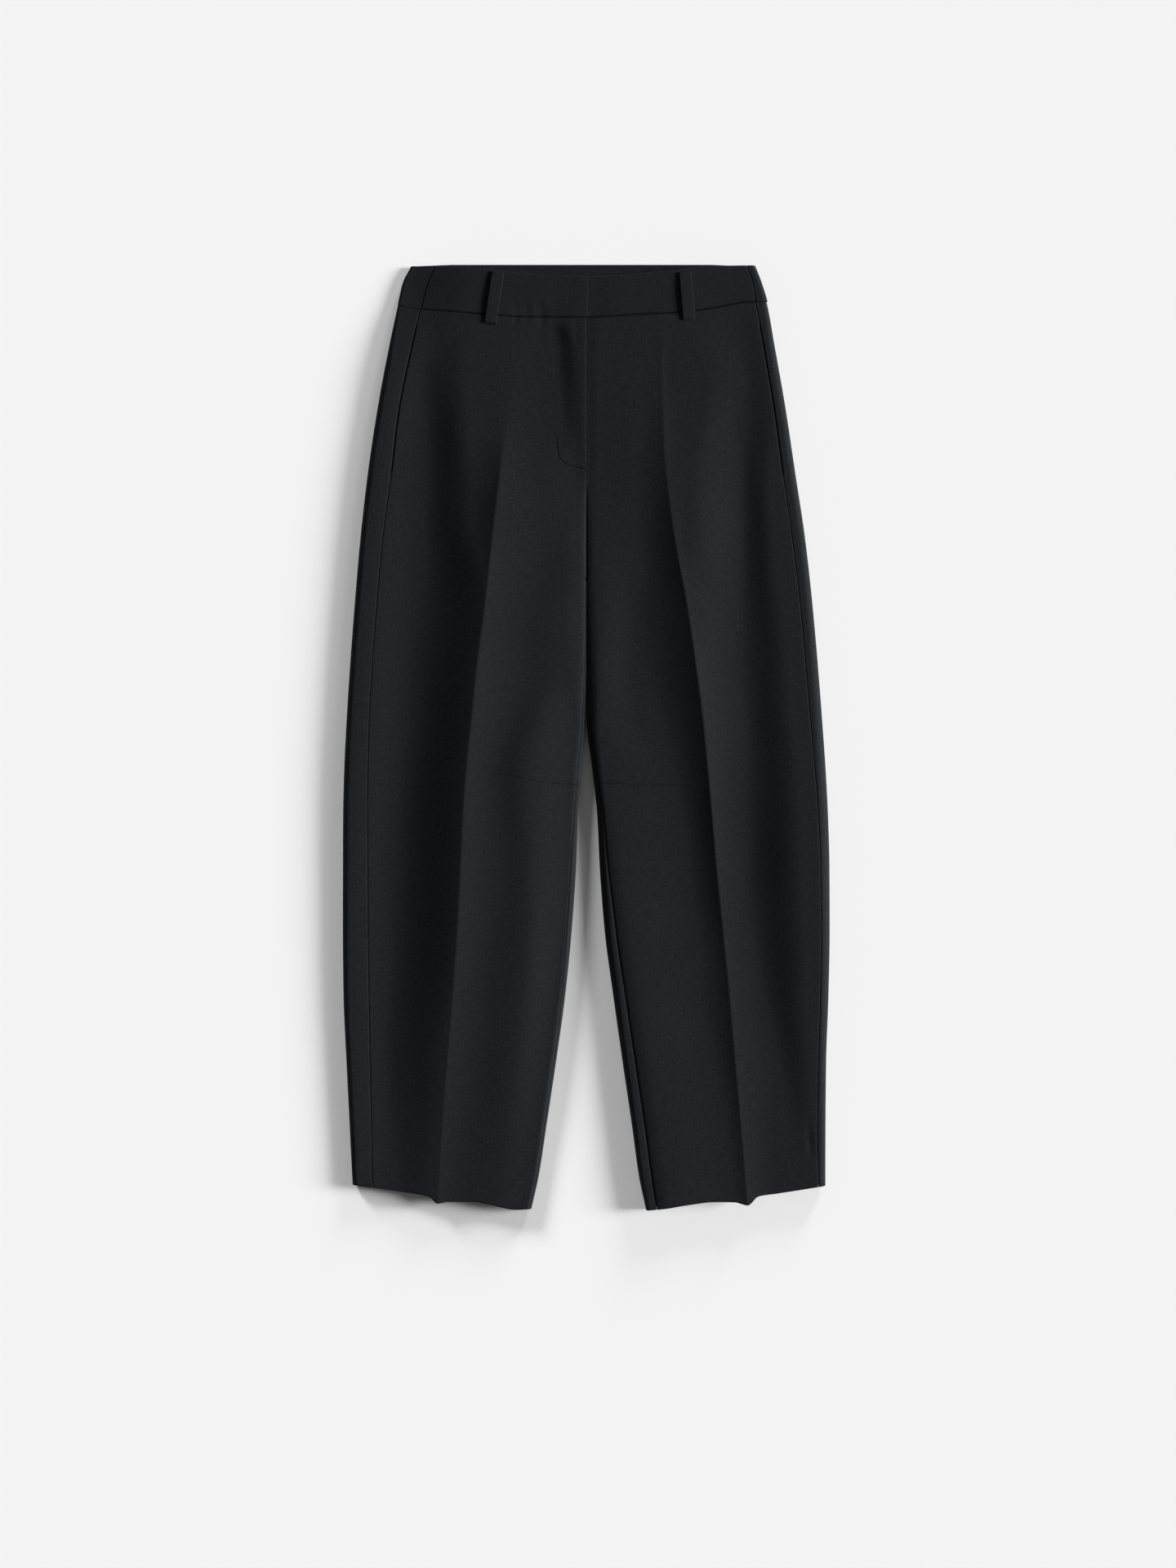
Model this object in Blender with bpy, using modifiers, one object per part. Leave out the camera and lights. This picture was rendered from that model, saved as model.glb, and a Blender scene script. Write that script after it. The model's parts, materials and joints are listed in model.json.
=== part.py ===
"""Barrel leg trousers in plain dark suiting, laid flat with the front up.

The wearer's right is at -X, the waist at +Y and the table at Z = 0. Every outer surface is one
function of the place across a leg and of the distance down from the back waist edge. The panels,
the waistband and the belt loops are cut from that surface at their seams, and each gets its cloth
thickness inwards with Solidify. Sizes in the tables are millimetres.
"""

from collections import namedtuple

import bmesh
import bpy
import numpy as np

MM = 0.001

# Driving sizes, in millimetres
LENGTH = 985.0
CLOTH = 1.2
BAND_CLOTH = 2.0
LOOP_CLOTH = 1.6
LOOP_WIDTH = 12.7
SEAM_GAP = 0.3
WAIST_GAP = 0.4
WAIST_DOWN = 44.0
CROTCH_DOWN = 329.0
HEM_DOWN = 975.0

# The back: its own waist edge and seam, and how far its centre lies from the front's
BACK_TOP_DOWN = 1.0
BACK_SEAM_DOWN = 45.0
BACK_HEM_SHORT = 1.5
CENTRE_BACK_SHIFT = 26.0
FLOOR_EASE = 40.0

# The band laps right over left at the centre front, and lies on its back loops
LAP_OVER = 1.6
LAP_UNDER = 30.0
LAP_DROP = BAND_CLOTH + SEAM_GAP + 0.2
LAP_SLOPE = 9.0
BAND_LIFT = LOOP_CLOTH + SEAM_GAP
LIFT_START = 60.0
LIFT_END = 110.0

# How far the rolled edges and the pressed crease shape the panel beside them
ROLL_REACH = 34.0
CREASE_SHARE = 0.86
CREASE_POWER = 1.5
CROTCH_ROLL = 4.0
CROTCH_ROLL_REACH = 160.0

# Rows down a panel, and columns across each kind of piece
ROWS_ABOVE = 9
ROWS_BELOW = 17
ROW_ABOVE_CROTCH = 4.0
EDGE_REACH = 70.0
SEAM_STRIP = 0.8
STRIP_SHARE = 0.4
FRONT_INNER_SHARES = (0.0, 0.0, 0.035, 0.12, 0.3, 0.55, 0.8)
FRONT_OUTER_SHARES = (0.0, 0.2, 0.45, 0.7, 0.88, 1.0, 1.0)
WRAP_STEPS = 4
ARC_STEPS = 3
FLOOR_STEPS = 4
INNER_STEPS = 3
BAND_ROWS = 3
LOOP_STEPS = 6
LOOP_COLUMNS = 3

# One row for each section across a leg. down: below the back waist edge. outer and inner: the
# leg's two edges, measured out from the centre front. crease: the pressed line. side_inset and
# inner_inset: how far the side seam and the inseam lie in from those edges, on the upper side.
Section = namedtuple("Section", "down outer inner crease side_inset inner_inset")

RIGHT_SECTIONS = (
    Section(0.0, 182.5, 0.2, 70.0, 25.1, 5.0),
    Section(18.0, 191.0, 0.2, 71.0, 25.4, 5.0),
    Section(44.0, 196.5, 0.2, 73.0, 24.4, 5.0),
    Section(82.0, 204.6, 0.2, 76.5, 23.8, 5.0),
    Section(150.0, 217.3, 0.2, 82.5, 22.6, 5.0),
    Section(218.0, 227.5, 0.2, 89.2, 24.6, 5.0),
    Section(286.0, 235.2, 0.2, 97.2, 23.4, 5.0),
    Section(354.0, 241.1, 0.2, 104.5, 23.0, 5.0),
    Section(422.0, 246.2, 0.2, 113.3, 23.0, 4.0),
    Section(474.0, 249.5, 0.6, 118.7, 23.6, 3.2),
    Section(525.0, 252.0, 5.4, 124.0, 24.6, 3.0),
    Section(575.0, 253.2, 8.6, 127.5, 25.4, 3.6),
    Section(626.0, 253.4, 10.4, 130.0, 25.8, 5.8),
    Section(694.0, 253.5, 15.0, 133.5, 26.3, 5.6),
    Section(762.0, 252.8, 21.8, 138.2, 26.6, 3.6),
    Section(830.0, 249.8, 31.2, 144.2, 24.6, 2.2),
    Section(898.0, 246.4, 41.4, 149.4, 22.6, 2.0),
    Section(950.0, 243.8, 49.4, 152.8, 21.3, 2.0),
    Section(985.0, 241.8, 57.2, 155.0, 20.5, 2.0),
)

LEFT_SECTIONS = (
    Section(0.0, 176.2, 0.2, 74.0, 9.2, 5.0),
    Section(18.0, 182.2, 0.2, 74.5, 9.6, 5.0),
    Section(44.0, 189.0, 0.2, 75.0, 12.2, 5.0),
    Section(82.0, 195.8, 0.2, 76.2, 12.2, 5.0),
    Section(150.0, 207.7, 0.2, 79.2, 12.6, 5.0),
    Section(218.0, 217.9, 0.2, 83.2, 13.6, 5.0),
    Section(286.0, 228.1, 0.2, 92.0, 14.0, 5.0),
    Section(354.0, 235.7, 0.2, 104.6, 13.4, 5.0),
    Section(422.0, 241.7, 0.2, 114.7, 13.4, 4.0),
    Section(474.0, 245.7, 0.6, 121.4, 12.9, 3.6),
    Section(525.0, 249.2, 6.2, 126.4, 11.9, 4.2),
    Section(575.0, 251.8, 11.6, 131.0, 10.8, 6.4),
    Section(626.0, 253.2, 14.0, 135.4, 10.1, 8.6),
    Section(694.0, 253.5, 19.2, 142.3, 9.6, 11.8),
    Section(762.0, 252.3, 28.2, 149.2, 9.2, 12.7),
    Section(830.0, 250.0, 37.8, 155.0, 8.6, 13.2),
    Section(898.0, 249.4, 47.8, 161.1, 9.0, 13.4),
    Section(950.0, 249.3, 55.0, 165.4, 7.8, 13.2),
    Section(985.0, 249.3, 62.3, 168.2, 7.2, 11.4),
)

# How high the outer surface stands above the table: over the rolled outer edge, over the body of
# the panel, over the centre front or the inner roll, and how far the pressed crease adds to it.
Height = namedtuple("Height", "down outer_roll body inner_roll ridge")

RIGHT_HEIGHTS = (
    Height(0.0, 12.0, 13.0, 13.0, 0.0),
    Height(44.0, 13.0, 13.5, 13.5, 0.0),
    Height(110.0, 14.0, 13.5, 14.0, 1.5),
    Height(218.0, 15.0, 13.0, 15.0, 5.5),
    Height(329.0, 15.0, 13.0, 16.0, 9.5),
    Height(474.0, 15.0, 12.5, 16.5, 12.0),
    Height(626.0, 15.0, 12.0, 14.5, 13.0),
    Height(762.0, 14.0, 12.0, 13.0, 12.5),
    Height(898.0, 12.5, 11.5, 12.0, 11.0),
    Height(985.0, 11.5, 11.0, 11.0, 9.5),
)

LEFT_HEIGHTS = (
    Height(0.0, 12.0, 13.0, 13.0, 0.0),
    Height(44.0, 13.0, 13.5, 13.5, 0.0),
    Height(110.0, 15.0, 13.5, 14.0, 1.5),
    Height(218.0, 16.0, 13.0, 14.5, 4.5),
    Height(329.0, 16.5, 12.5, 14.0, 8.5),
    Height(474.0, 17.0, 12.0, 12.5, 12.0),
    Height(626.0, 17.0, 12.0, 13.0, 13.0),
    Height(762.0, 16.0, 12.0, 13.0, 12.5),
    Height(898.0, 13.5, 11.5, 12.0, 11.0),
    Height(985.0, 12.0, 11.0, 11.0, 9.5),
)

# The largest folds: a soft ridge, or a trough where height is below zero, that runs from start to
# end down the leg. Its middle line passes near, middle and far, out from the centre front.
RIGHT, LEFT = -1.0, 1.0
Fold = namedtuple("Fold", "side start end near middle far height half_width")

FOLDS = (
    Fold(RIGHT, 330.0, 900.0, 118.0, 148.0, 168.0, 3.2, 34.0),
    Fold(RIGHT, 60.0, 330.0, 34.0, 30.0, 40.0, -1.6, 26.0),
    Fold(RIGHT, 400.0, 860.0, 70.0, 82.0, 96.0, -2.0, 26.0),
    Fold(LEFT, 90.0, 560.0, 176.0, 186.0, 200.0, -3.0, 30.0),
    Fold(LEFT, 480.0, 900.0, 194.0, 208.0, 224.0, -2.6, 24.0),
    Fold(LEFT, 420.0, 880.0, 62.0, 74.0, 96.0, -1.8, 26.0),
)

# The front waist edge and the waist seam, by their place across the garment.
WaistPoint = namedtuple("WaistPoint", "across top seam")

WAIST = (
    WaistPoint(-205.0, 1.5, 41.0),
    WaistPoint(-171.0, 2.0, 47.0),
    WaistPoint(-112.0, 5.6, 52.4),
    WaistPoint(-61.0, 10.8, 55.9),
    WaistPoint(0.0, 13.2, 56.2),
    WaistPoint(41.0, 11.4, 53.8),
    WaistPoint(98.0, 6.5, 50.7),
    WaistPoint(137.0, 2.6, 45.3),
    WaistPoint(164.0, 2.0, 40.4),
    WaistPoint(205.0, 1.5, 38.5),
)

# The front hem of each leg, out from the centre front. The crease tips it down.
HemPoint = namedtuple("HemPoint", "out down")

RIGHT_HEM = (
    HemPoint(57.0, 984.0),
    HemPoint(70.0, 984.5),
    HemPoint(101.0, 978.8),
    HemPoint(118.0, 976.2),
    HemPoint(143.0, 976.2),
    HemPoint(154.5, 977.8),
    HemPoint(163.0, 971.0),
    HemPoint(188.0, 966.5),
    HemPoint(242.0, 958.8),
)

LEFT_HEM = (
    HemPoint(62.0, 985.0),
    HemPoint(78.0, 983.4),
    HemPoint(108.0, 978.8),
    HemPoint(132.0, 976.2),
    HemPoint(154.0, 976.4),
    HemPoint(167.7, 979.5),
    HemPoint(179.6, 970.4),
    HemPoint(199.0, 967.6),
    HemPoint(249.0, 959.7),
)

# Belt loops: the middle of each end, across the garment and down. The back ones lie under it.
BeltLoop = namedtuple("BeltLoop", "name on_top top_across top_down end_across end_down bow")

BELT_LOOPS = (
    BeltLoop("belt_loop_front_right", True, -91.5, 8.7, -99.5, 62.9, 0.9),
    BeltLoop("belt_loop_front_left", True, 103.0, 8.7, 107.2, 59.1, 0.9),
    BeltLoop("belt_loop_back_right", False, -122.0, 1.6, -126.0, 56.0, 0.0),
    BeltLoop("belt_loop_back_centre", False, 26.0, 0.0, 26.0, 56.0, 0.0),
    BeltLoop("belt_loop_back_left", False, 132.0, 1.6, 136.0, 56.0, 0.0),
)

# Colours in linear light, and the cloth's roughness
COLLECTION = "barrel_leg_trousers"
PANEL_COLOUR = (0.0140, 0.0146, 0.0165, 1.0)
BAND_COLOUR = (0.0125, 0.0130, 0.0148, 1.0)
LOOP_COLOUR = (0.0160, 0.0166, 0.0185, 1.0)
CLOTH_ROUGHNESS = 0.86

# Places round a rolled edge: shares of a seam's inset, and turns of the quarter below the edge.
# The first or last share comes twice, because a narrow strip runs along each seam.
QUARTER = np.pi / 2.0
OVER_SHARES = np.append(1.0, 1.0 - np.sin(QUARTER * np.arange(WRAP_STEPS + 1) / WRAP_STEPS))
INNER_SHARES = np.append(1.0 - np.cos(QUARTER * np.arange(1, INNER_STEPS + 1) / INNER_STEPS), 1.0)
ARC_TURNS = QUARTER * np.arange(1, ARC_STEPS + 1) / ARC_STEPS
FLOOR_SHARES = np.arange(FLOOR_STEPS) / (FLOOR_STEPS - 1)


def smooth(share):
    """Eases from 0 to 1 as share goes from 0 to 1."""
    share = np.clip(share, 0.0, 1.0)
    return share * share * (3.0 - 2.0 * share)


def steady_curve(knots, values):
    """Gives a function that runs smoothly through the values and never overshoots them."""
    knots = np.asarray(knots, float)
    values = np.asarray(values, float)
    step = np.diff(knots)
    slope = np.diff(values) / step
    tangent = np.zeros(len(knots))
    tangent[0], tangent[-1] = slope[0], slope[-1]
    for i in range(1, len(knots) - 1):
        if slope[i - 1] * slope[i] > 0.0:
            near = 2.0 * step[i] + step[i - 1]
            far = step[i] + 2.0 * step[i - 1]
            tangent[i] = (near + far) / (near / slope[i - 1] + far / slope[i])

    def at(place):
        place = np.clip(np.asarray(place, float), knots[0], knots[-1])
        i = np.clip(np.searchsorted(knots, place, side="right") - 1, 0, len(step) - 1)
        t = (place - knots[i]) / step[i]
        leave = (1.0 - t) ** 2 * ((1.0 + 2.0 * t) * values[i] + t * step[i] * tangent[i])
        arrive = t * t * ((3.0 - 2.0 * t) * values[i + 1] + (t - 1.0) * step[i] * tangent[i + 1])
        return leave + arrive

    return at


def table_curve(rows, along, column):
    """Gives one column of a table as a curve along another column."""
    return steady_curve([getattr(r, along) for r in rows], [getattr(r, column) for r in rows])


def lift(down):
    """Height of the underside above the table: the band lies on its back loops."""
    return BAND_LIFT * (1.0 - smooth((down - LIFT_START) / (LIFT_END - LIFT_START)))


class Leg:
    """The outer surface of one half of the trousers, as functions of out and down."""

    def __init__(self, side, sections, heights, hem):
        self.side = side
        for column in Section._fields[1:]:
            setattr(self, column, table_curve(sections, "down", column))
        for column in Height._fields[1:]:
            setattr(self, column, table_curve(heights, "down", column))
        self.hem = table_curve(hem, "out", "down")
        self.band_top = table_curve(WAIST, "across", "top")
        self.band_seam = table_curve(WAIST, "across", "seam")
        self.folds = [fold for fold in FOLDS if fold.side == side]

    def waist_top(self, out):
        return self.band_top(self.side * out)

    def waist_seam(self, out):
        return self.band_seam(self.side * out)

    def side_seam(self, down):
        return self.outer(down) - self.side_inset(down)

    def front_edge(self, down):
        """The centre front above the crotch, and the inseam below it."""
        return np.where(down < CROTCH_DOWN, 0.0, self.inner(down) + self.inner_inset(down))

    def outer_radius(self, down):
        return (self.outer_roll(down) - lift(down)) / 2.0

    def outer_middle(self, down):
        return (self.outer_roll(down) + lift(down)) / 2.0

    def inner_radius(self, down):
        """How far the inner roll reaches across: a tight fold at the crotch, a round one below."""
        full = self.inner_roll(down) / 2.0
        return CROTCH_ROLL + (full - CROTCH_ROLL) * smooth((down - CROTCH_DOWN) / CROTCH_ROLL_REACH)

    def inner_middle(self, down):
        return self.inner_roll(down) / 2.0

    def fold_height(self, out, down):
        """Adds up the large folds: a bell across each, faded in and out along it."""
        total = np.zeros(np.broadcast(out, down).shape)
        for fold in self.folds:
            along = np.clip((down - fold.start) / (fold.end - fold.start), 0.0, 1.0)
            path = fold.near * (1.0 - along) * (1.0 - 2.0 * along)
            path = path + 4.0 * fold.middle * along * (1.0 - along)
            path = path + fold.far * along * (2.0 * along - 1.0)
            bell = 1.0 - smooth(np.abs(out - path) / fold.half_width)
            total = total + fold.height * bell * np.sin(np.pi * along)
        return total

    def top(self, out, down):
        """Height of the upper side: body, rolls, crease and folds, rounded down to each edge."""
        outer, inner, crease = self.outer(down), self.inner(down), self.crease(down)
        from_outer = np.maximum(outer - out, 0.0)
        from_inner = np.maximum(out - inner, 0.0)
        body = self.body(down)
        high = body + (self.outer_roll(down) - body) * (1.0 - smooth(from_outer / ROLL_REACH))
        high = high + (self.inner_roll(down) - body) * (1.0 - smooth(from_inner / ROLL_REACH))
        reach = np.where(out > crease, outer - crease, crease - inner) * CREASE_SHARE
        away = np.clip(np.abs(out - crease) / reach, 0.0, 1.0)
        high = high + self.ridge(down) * (1.0 - away) ** CREASE_POWER
        high = high + self.fold_height(out, down)
        high = rounded(high, from_outer, self.outer_radius(down), self.outer_middle(down))
        rolled = rounded(high, from_inner, self.inner_radius(down), self.inner_middle(down))
        return np.where(down < CROTCH_DOWN, high, rolled)

    def place(self, out, down, high):
        """Turns out, down and high into points in metres."""
        return np.stack([self.side * out, LENGTH / 2.0 - down, high], axis=-1) * MM


def rounded(high, from_edge, radius, middle):
    """Brings a height down to the middle of the roll at the edge, as a quarter ellipse."""
    rise = np.sqrt(1.0 - (1.0 - np.clip(from_edge / radius, 0.0, 1.0)) ** 2)
    return middle + (high - middle) * rise


def panel_rows():
    """Distances down of a panel's rows: one lies on the crotch, and one just above it."""
    above = np.linspace(WAIST_DOWN, CROTCH_DOWN - ROW_ABOVE_CROTCH, ROWS_ABOVE)
    below = np.linspace(CROTCH_DOWN, HEM_DOWN, ROWS_BELOW)
    return np.concatenate([above, below])[:, None]


def settled(down, start, end):
    """Moves the rows near the ends so that the first lies on the seam and the last on the hem."""
    near_start = 1.0 - smooth((down - WAIST_DOWN) / EDGE_REACH)
    near_end = smooth((down - (HEM_DOWN - EDGE_REACH)) / EDGE_REACH)
    return down + (start - WAIST_DOWN) * near_start + (end - HEM_DOWN) * near_end


def front_columns(leg, down):
    """Places across a front, from its inner edge over the crease to the side seam."""
    inner = leg.front_edge(down) + SEAM_GAP / 2.0 + SEAM_STRIP
    seam = leg.side_seam(down) - SEAM_GAP / 2.0 - SEAM_STRIP
    crease = leg.crease(down)
    share = np.array(FRONT_INNER_SHARES + FRONT_OUTER_SHARES)
    is_inner = np.arange(len(share)) < len(FRONT_INNER_SHARES)
    out = np.where(is_inner, inner + (crease - inner) * share, crease + (seam - crease) * share)
    out[:, 0] -= SEAM_STRIP
    out[:, -1] += SEAM_STRIP
    return out


def line_around(leg, line, down, along_table):
    """Reads an edge line for each column round a back: over the outer edge it is the front's."""
    over = line(leg.outer(down) - leg.side_inset(down) * OVER_SHARES)
    return np.concatenate([over, np.full(ARC_STEPS, over[-1]), along_table])


def outer_back(leg, down, end):
    """Out and high from the side seam over the outer edge, under it and along the table to end."""
    first_under = len(OVER_SHARES)
    over, under, floor = np.split(down, [first_under, first_under + ARC_STEPS], axis=1)
    inset = leg.side_inset(over) - SEAM_GAP / 2.0
    over_out = leg.outer(over) - (inset - SEAM_STRIP) * OVER_SHARES
    over_out[:, 0] -= SEAM_STRIP
    under_out = leg.outer(under) - leg.outer_radius(under) * (1.0 - np.cos(ARC_TURNS))
    middle = leg.outer_middle(under)
    under_high = middle - (middle - lift(under)) * np.sin(ARC_TURNS)
    begin = leg.outer(floor) - leg.outer_radius(floor) - FLOOR_EASE
    floor_out = begin + (end - begin) * FLOOR_SHARES
    out = np.concatenate([over_out, under_out, floor_out], axis=1)
    high = np.concatenate([leg.top(over_out, over), under_high, lift(floor)], axis=1)
    return out, high


def inner_back(leg, down):
    """Out and high from the table up the inner roll and over to the inseam."""
    under, over = np.split(down, [ARC_STEPS], axis=1)
    under_out = leg.inner(under) + leg.inner_radius(under) * (1.0 - np.sin(ARC_TURNS))
    middle = leg.inner_middle(under)
    inset = leg.inner_inset(over) - SEAM_GAP / 2.0
    strip = np.minimum(SEAM_STRIP, STRIP_SHARE * inset)
    over_out = leg.inner(over) + (inset - strip) * INNER_SHARES
    over_out[:, -1] += strip[:, -1]
    out = np.concatenate([under_out, over_out], axis=1)
    high = np.concatenate([middle - middle * np.cos(ARC_TURNS), leg.top(over_out, over)], axis=1)
    return out, high


def grid_mesh(name, points, keep=None):
    """Makes a mesh from a grid of points; keep says which of its cells are cloth."""
    rows, columns = points.shape[:2]
    index = np.arange(rows * columns).reshape(rows, columns)
    cells = np.stack([index[:-1, :-1], index[:-1, 1:], index[1:, 1:], index[1:, :-1]], axis=-1)
    cells = cells.reshape(-1, 4) if keep is None else cells[keep]
    mesh = bpy.data.meshes.new(name)
    mesh.from_pydata(points.reshape(-1, 3).tolist(), [], cells.tolist())
    model = bmesh.new()
    model.from_mesh(mesh)
    loose = [corner for corner in model.verts if not corner.link_faces]
    bmesh.ops.delete(model, geom=loose, context="VERTS")
    model.to_mesh(mesh)
    model.free()
    return mesh


def cloth_material(name, colour):
    """A matt cloth in one colour."""
    material = bpy.data.materials.new(name)
    material.use_nodes = True
    shader = material.node_tree.nodes["Principled BSDF"]
    shader.inputs["Base Color"].default_value = colour
    shader.inputs["Roughness"].default_value = CLOTH_ROUGHNESS
    shader.inputs["Metallic"].default_value = 0.0
    return material


def add_piece(name, points, thickness, colour, turned, keep=None):
    """Adds a cloth piece: the grid is its outer side, and Solidify gives the wall inwards."""
    mesh = grid_mesh(name, points, keep)
    if turned:
        mesh.flip_normals()
    mesh.shade_smooth()
    mesh.materials.append(cloth_material(name, colour))
    piece = bpy.data.objects.new(name, mesh)
    bpy.data.collections[COLLECTION].objects.link(piece)
    wall = piece.modifiers.new("cloth", "SOLIDIFY")
    wall.thickness = thickness * MM
    wall.offset = -1.0
    wall.use_even_offset = True


def add_front(leg, name):
    """Adds a front panel, from the waist seam to the hem."""
    rows = panel_rows()
    out = front_columns(leg, rows)
    down = settled(rows, leg.waist_seam(out) + WAIST_GAP, leg.hem(out))
    out = front_columns(leg, down)
    points = leg.place(out, down, leg.top(out, down))
    add_piece(name, points, CLOTH, PANEL_COLOUR, turned=leg.side > 0)


def add_back(leg, name):
    """Adds a back panel: it wraps up over both edges of the leg to the front's seams."""
    rows = panel_rows()
    seam = line_around(leg, leg.waist_seam, WAIST_DOWN, np.full(FLOOR_STEPS, BACK_SEAM_DOWN))
    across = np.linspace(leg.outer(HEM_DOWN), leg.inner(HEM_DOWN), FLOOR_STEPS)
    hem = line_around(leg, leg.hem, HEM_DOWN, leg.hem(across) - BACK_HEM_SHORT)
    down = settled(rows, seam + WAIST_GAP, hem)
    floor_down = down[:, -FLOOR_STEPS:]
    centre_back = leg.side * CENTRE_BACK_SHIFT * (1.0 - smooth(floor_down / CROTCH_DOWN))
    closed = leg.inner(floor_down) + leg.inner_radius(floor_down)
    end = np.where(rows < CROTCH_DOWN, centre_back + SEAM_GAP / 2.0, closed)
    out, high = outer_back(leg, down, end)
    inner_hem = leg.hem(leg.inner(HEM_DOWN))
    inner_down = settled(rows, WAIST_DOWN, np.full(ARC_STEPS + len(INNER_SHARES), inner_hem))
    inner_down = np.maximum(inner_down, CROTCH_DOWN)
    inner_out, inner_high = inner_back(leg, inner_down)
    out = np.concatenate([out, inner_out], axis=1)
    down = np.concatenate([down, inner_down], axis=1)
    high = np.concatenate([high, inner_high], axis=1)
    keep = np.ones((out.shape[0] - 1, out.shape[1] - 1), bool)
    keep[:ROWS_ABOVE, -inner_down.shape[1] :] = False
    add_piece(name, leg.place(out, down, high), CLOTH, PANEL_COLOUR, leg.side > 0, keep)


def band_rows():
    """Nominal distances down of a waistband's rows."""
    return np.linspace(0.0, WAIST_DOWN, BAND_ROWS + 1)[:, None]


def add_band_front(leg, name, own, drop):
    """Adds a front waistband: its own columns at the centre front, and then the panel's. Where it
    runs under the other one, it lies lower by drop."""
    rows = band_rows()
    panel = front_columns(leg, rows)
    panel = panel[:, panel[-1] > own[-1] + SEAM_STRIP]
    out = np.concatenate([np.array(own) + 0.0 * rows, panel], axis=1)
    top, seam = leg.waist_top(out[-1]), leg.waist_seam(out[-1])
    down = top + (seam - top) * rows / WAIST_DOWN
    high = leg.top(np.abs(out), rows)
    high = high - drop * (1.0 - smooth((out - LAP_OVER) / LAP_SLOPE))
    add_piece(name, leg.place(out, down, high), BAND_CLOTH, BAND_COLOUR, turned=leg.side > 0)


def add_band_back(right, left, name):
    """Adds the back waistband, one piece from side seam to side seam along the table."""
    rows = band_rows()
    halves = []
    for leg in (right, left):
        top = line_around(leg, leg.waist_top, 0.0, np.full(FLOOR_STEPS, BACK_TOP_DOWN))
        seam = line_around(leg, leg.waist_seam, WAIST_DOWN, np.full(FLOOR_STEPS, BACK_SEAM_DOWN))
        out, high = outer_back(leg, rows + 0.0 * top, 0.0)
        down = top + (seam - top) * rows / WAIST_DOWN
        halves.append(leg.place(out, down, high))
    points = np.concatenate([halves[0], halves[1][:, -2::-1]], axis=1)
    add_piece(name, points, BAND_CLOTH, BAND_COLOUR, turned=False)


def add_belt_loop(legs, loop):
    """Adds a belt loop: a narrow strip that lies 0.3 mm outside the band and the panel."""
    share = np.linspace(0.0, 1.0, LOOP_STEPS + 1)[:, None]
    edge = np.linspace(-0.5, 0.5, LOOP_COLUMNS) * LOOP_WIDTH
    run = np.array([loop.end_across - loop.top_across, loop.end_down - loop.top_down])
    along, square = run / np.hypot(*run), np.array([run[1], -run[0]]) / np.hypot(*run)
    across = loop.top_across + along[0] * np.hypot(*run) * share + square[0] * edge
    down = loop.top_down + along[1] * np.hypot(*run) * share + square[1] * edge
    if loop.on_top:
        leg = legs[0] if loop.top_across < 0.0 else legs[1]
        high = leg.top(np.abs(across), down) + SEAM_GAP + LOOP_CLOTH
        high = high + loop.bow * np.sin(np.pi * share)
    else:
        high = np.zeros(across.shape)
    points = np.stack([across, LENGTH / 2.0 - down, high], axis=-1) * MM
    add_piece(loop.name, points, LOOP_CLOTH, LOOP_COLOUR, turned=loop.on_top)


def main():
    for old in list(bpy.data.objects):
        bpy.data.objects.remove(old, do_unlink=True)
    bpy.context.scene.collection.children.link(bpy.data.collections.new(COLLECTION))
    right = Leg(RIGHT, RIGHT_SECTIONS, RIGHT_HEIGHTS, RIGHT_HEM)
    left = Leg(LEFT, LEFT_SECTIONS, LEFT_HEIGHTS, LEFT_HEM)
    for leg, side in ((right, "right"), (left, "left")):
        add_front(leg, "front_" + side)
        add_back(leg, "back_" + side)
    under_lap = (-LAP_UNDER, LAP_OVER, LAP_OVER + LAP_SLOPE / 2.0, LAP_OVER + LAP_SLOPE)
    add_band_front(right, "waistband_front_right", (-LAP_OVER,), drop=0.0)
    add_band_front(left, "waistband_front_left", under_lap, drop=LAP_DROP)
    add_band_back(right, left, "waistband_back")
    for loop in BELT_LOOPS:
        add_belt_loop((right, left), loop)


main()
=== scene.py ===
"""Barrel leg trousers in near-black suiting, laid flat with the front up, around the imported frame.

The wearer's right is at -X, the waist at +Y and the table at Z = 0. Every outer surface is one
function of the place across a leg and of the distance down from the back waist edge, both in
millimetres, as in the frame's own shapes. Each cloth piece is a fine grid on that surface.
"""
import json
import math
from collections import namedtuple

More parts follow.
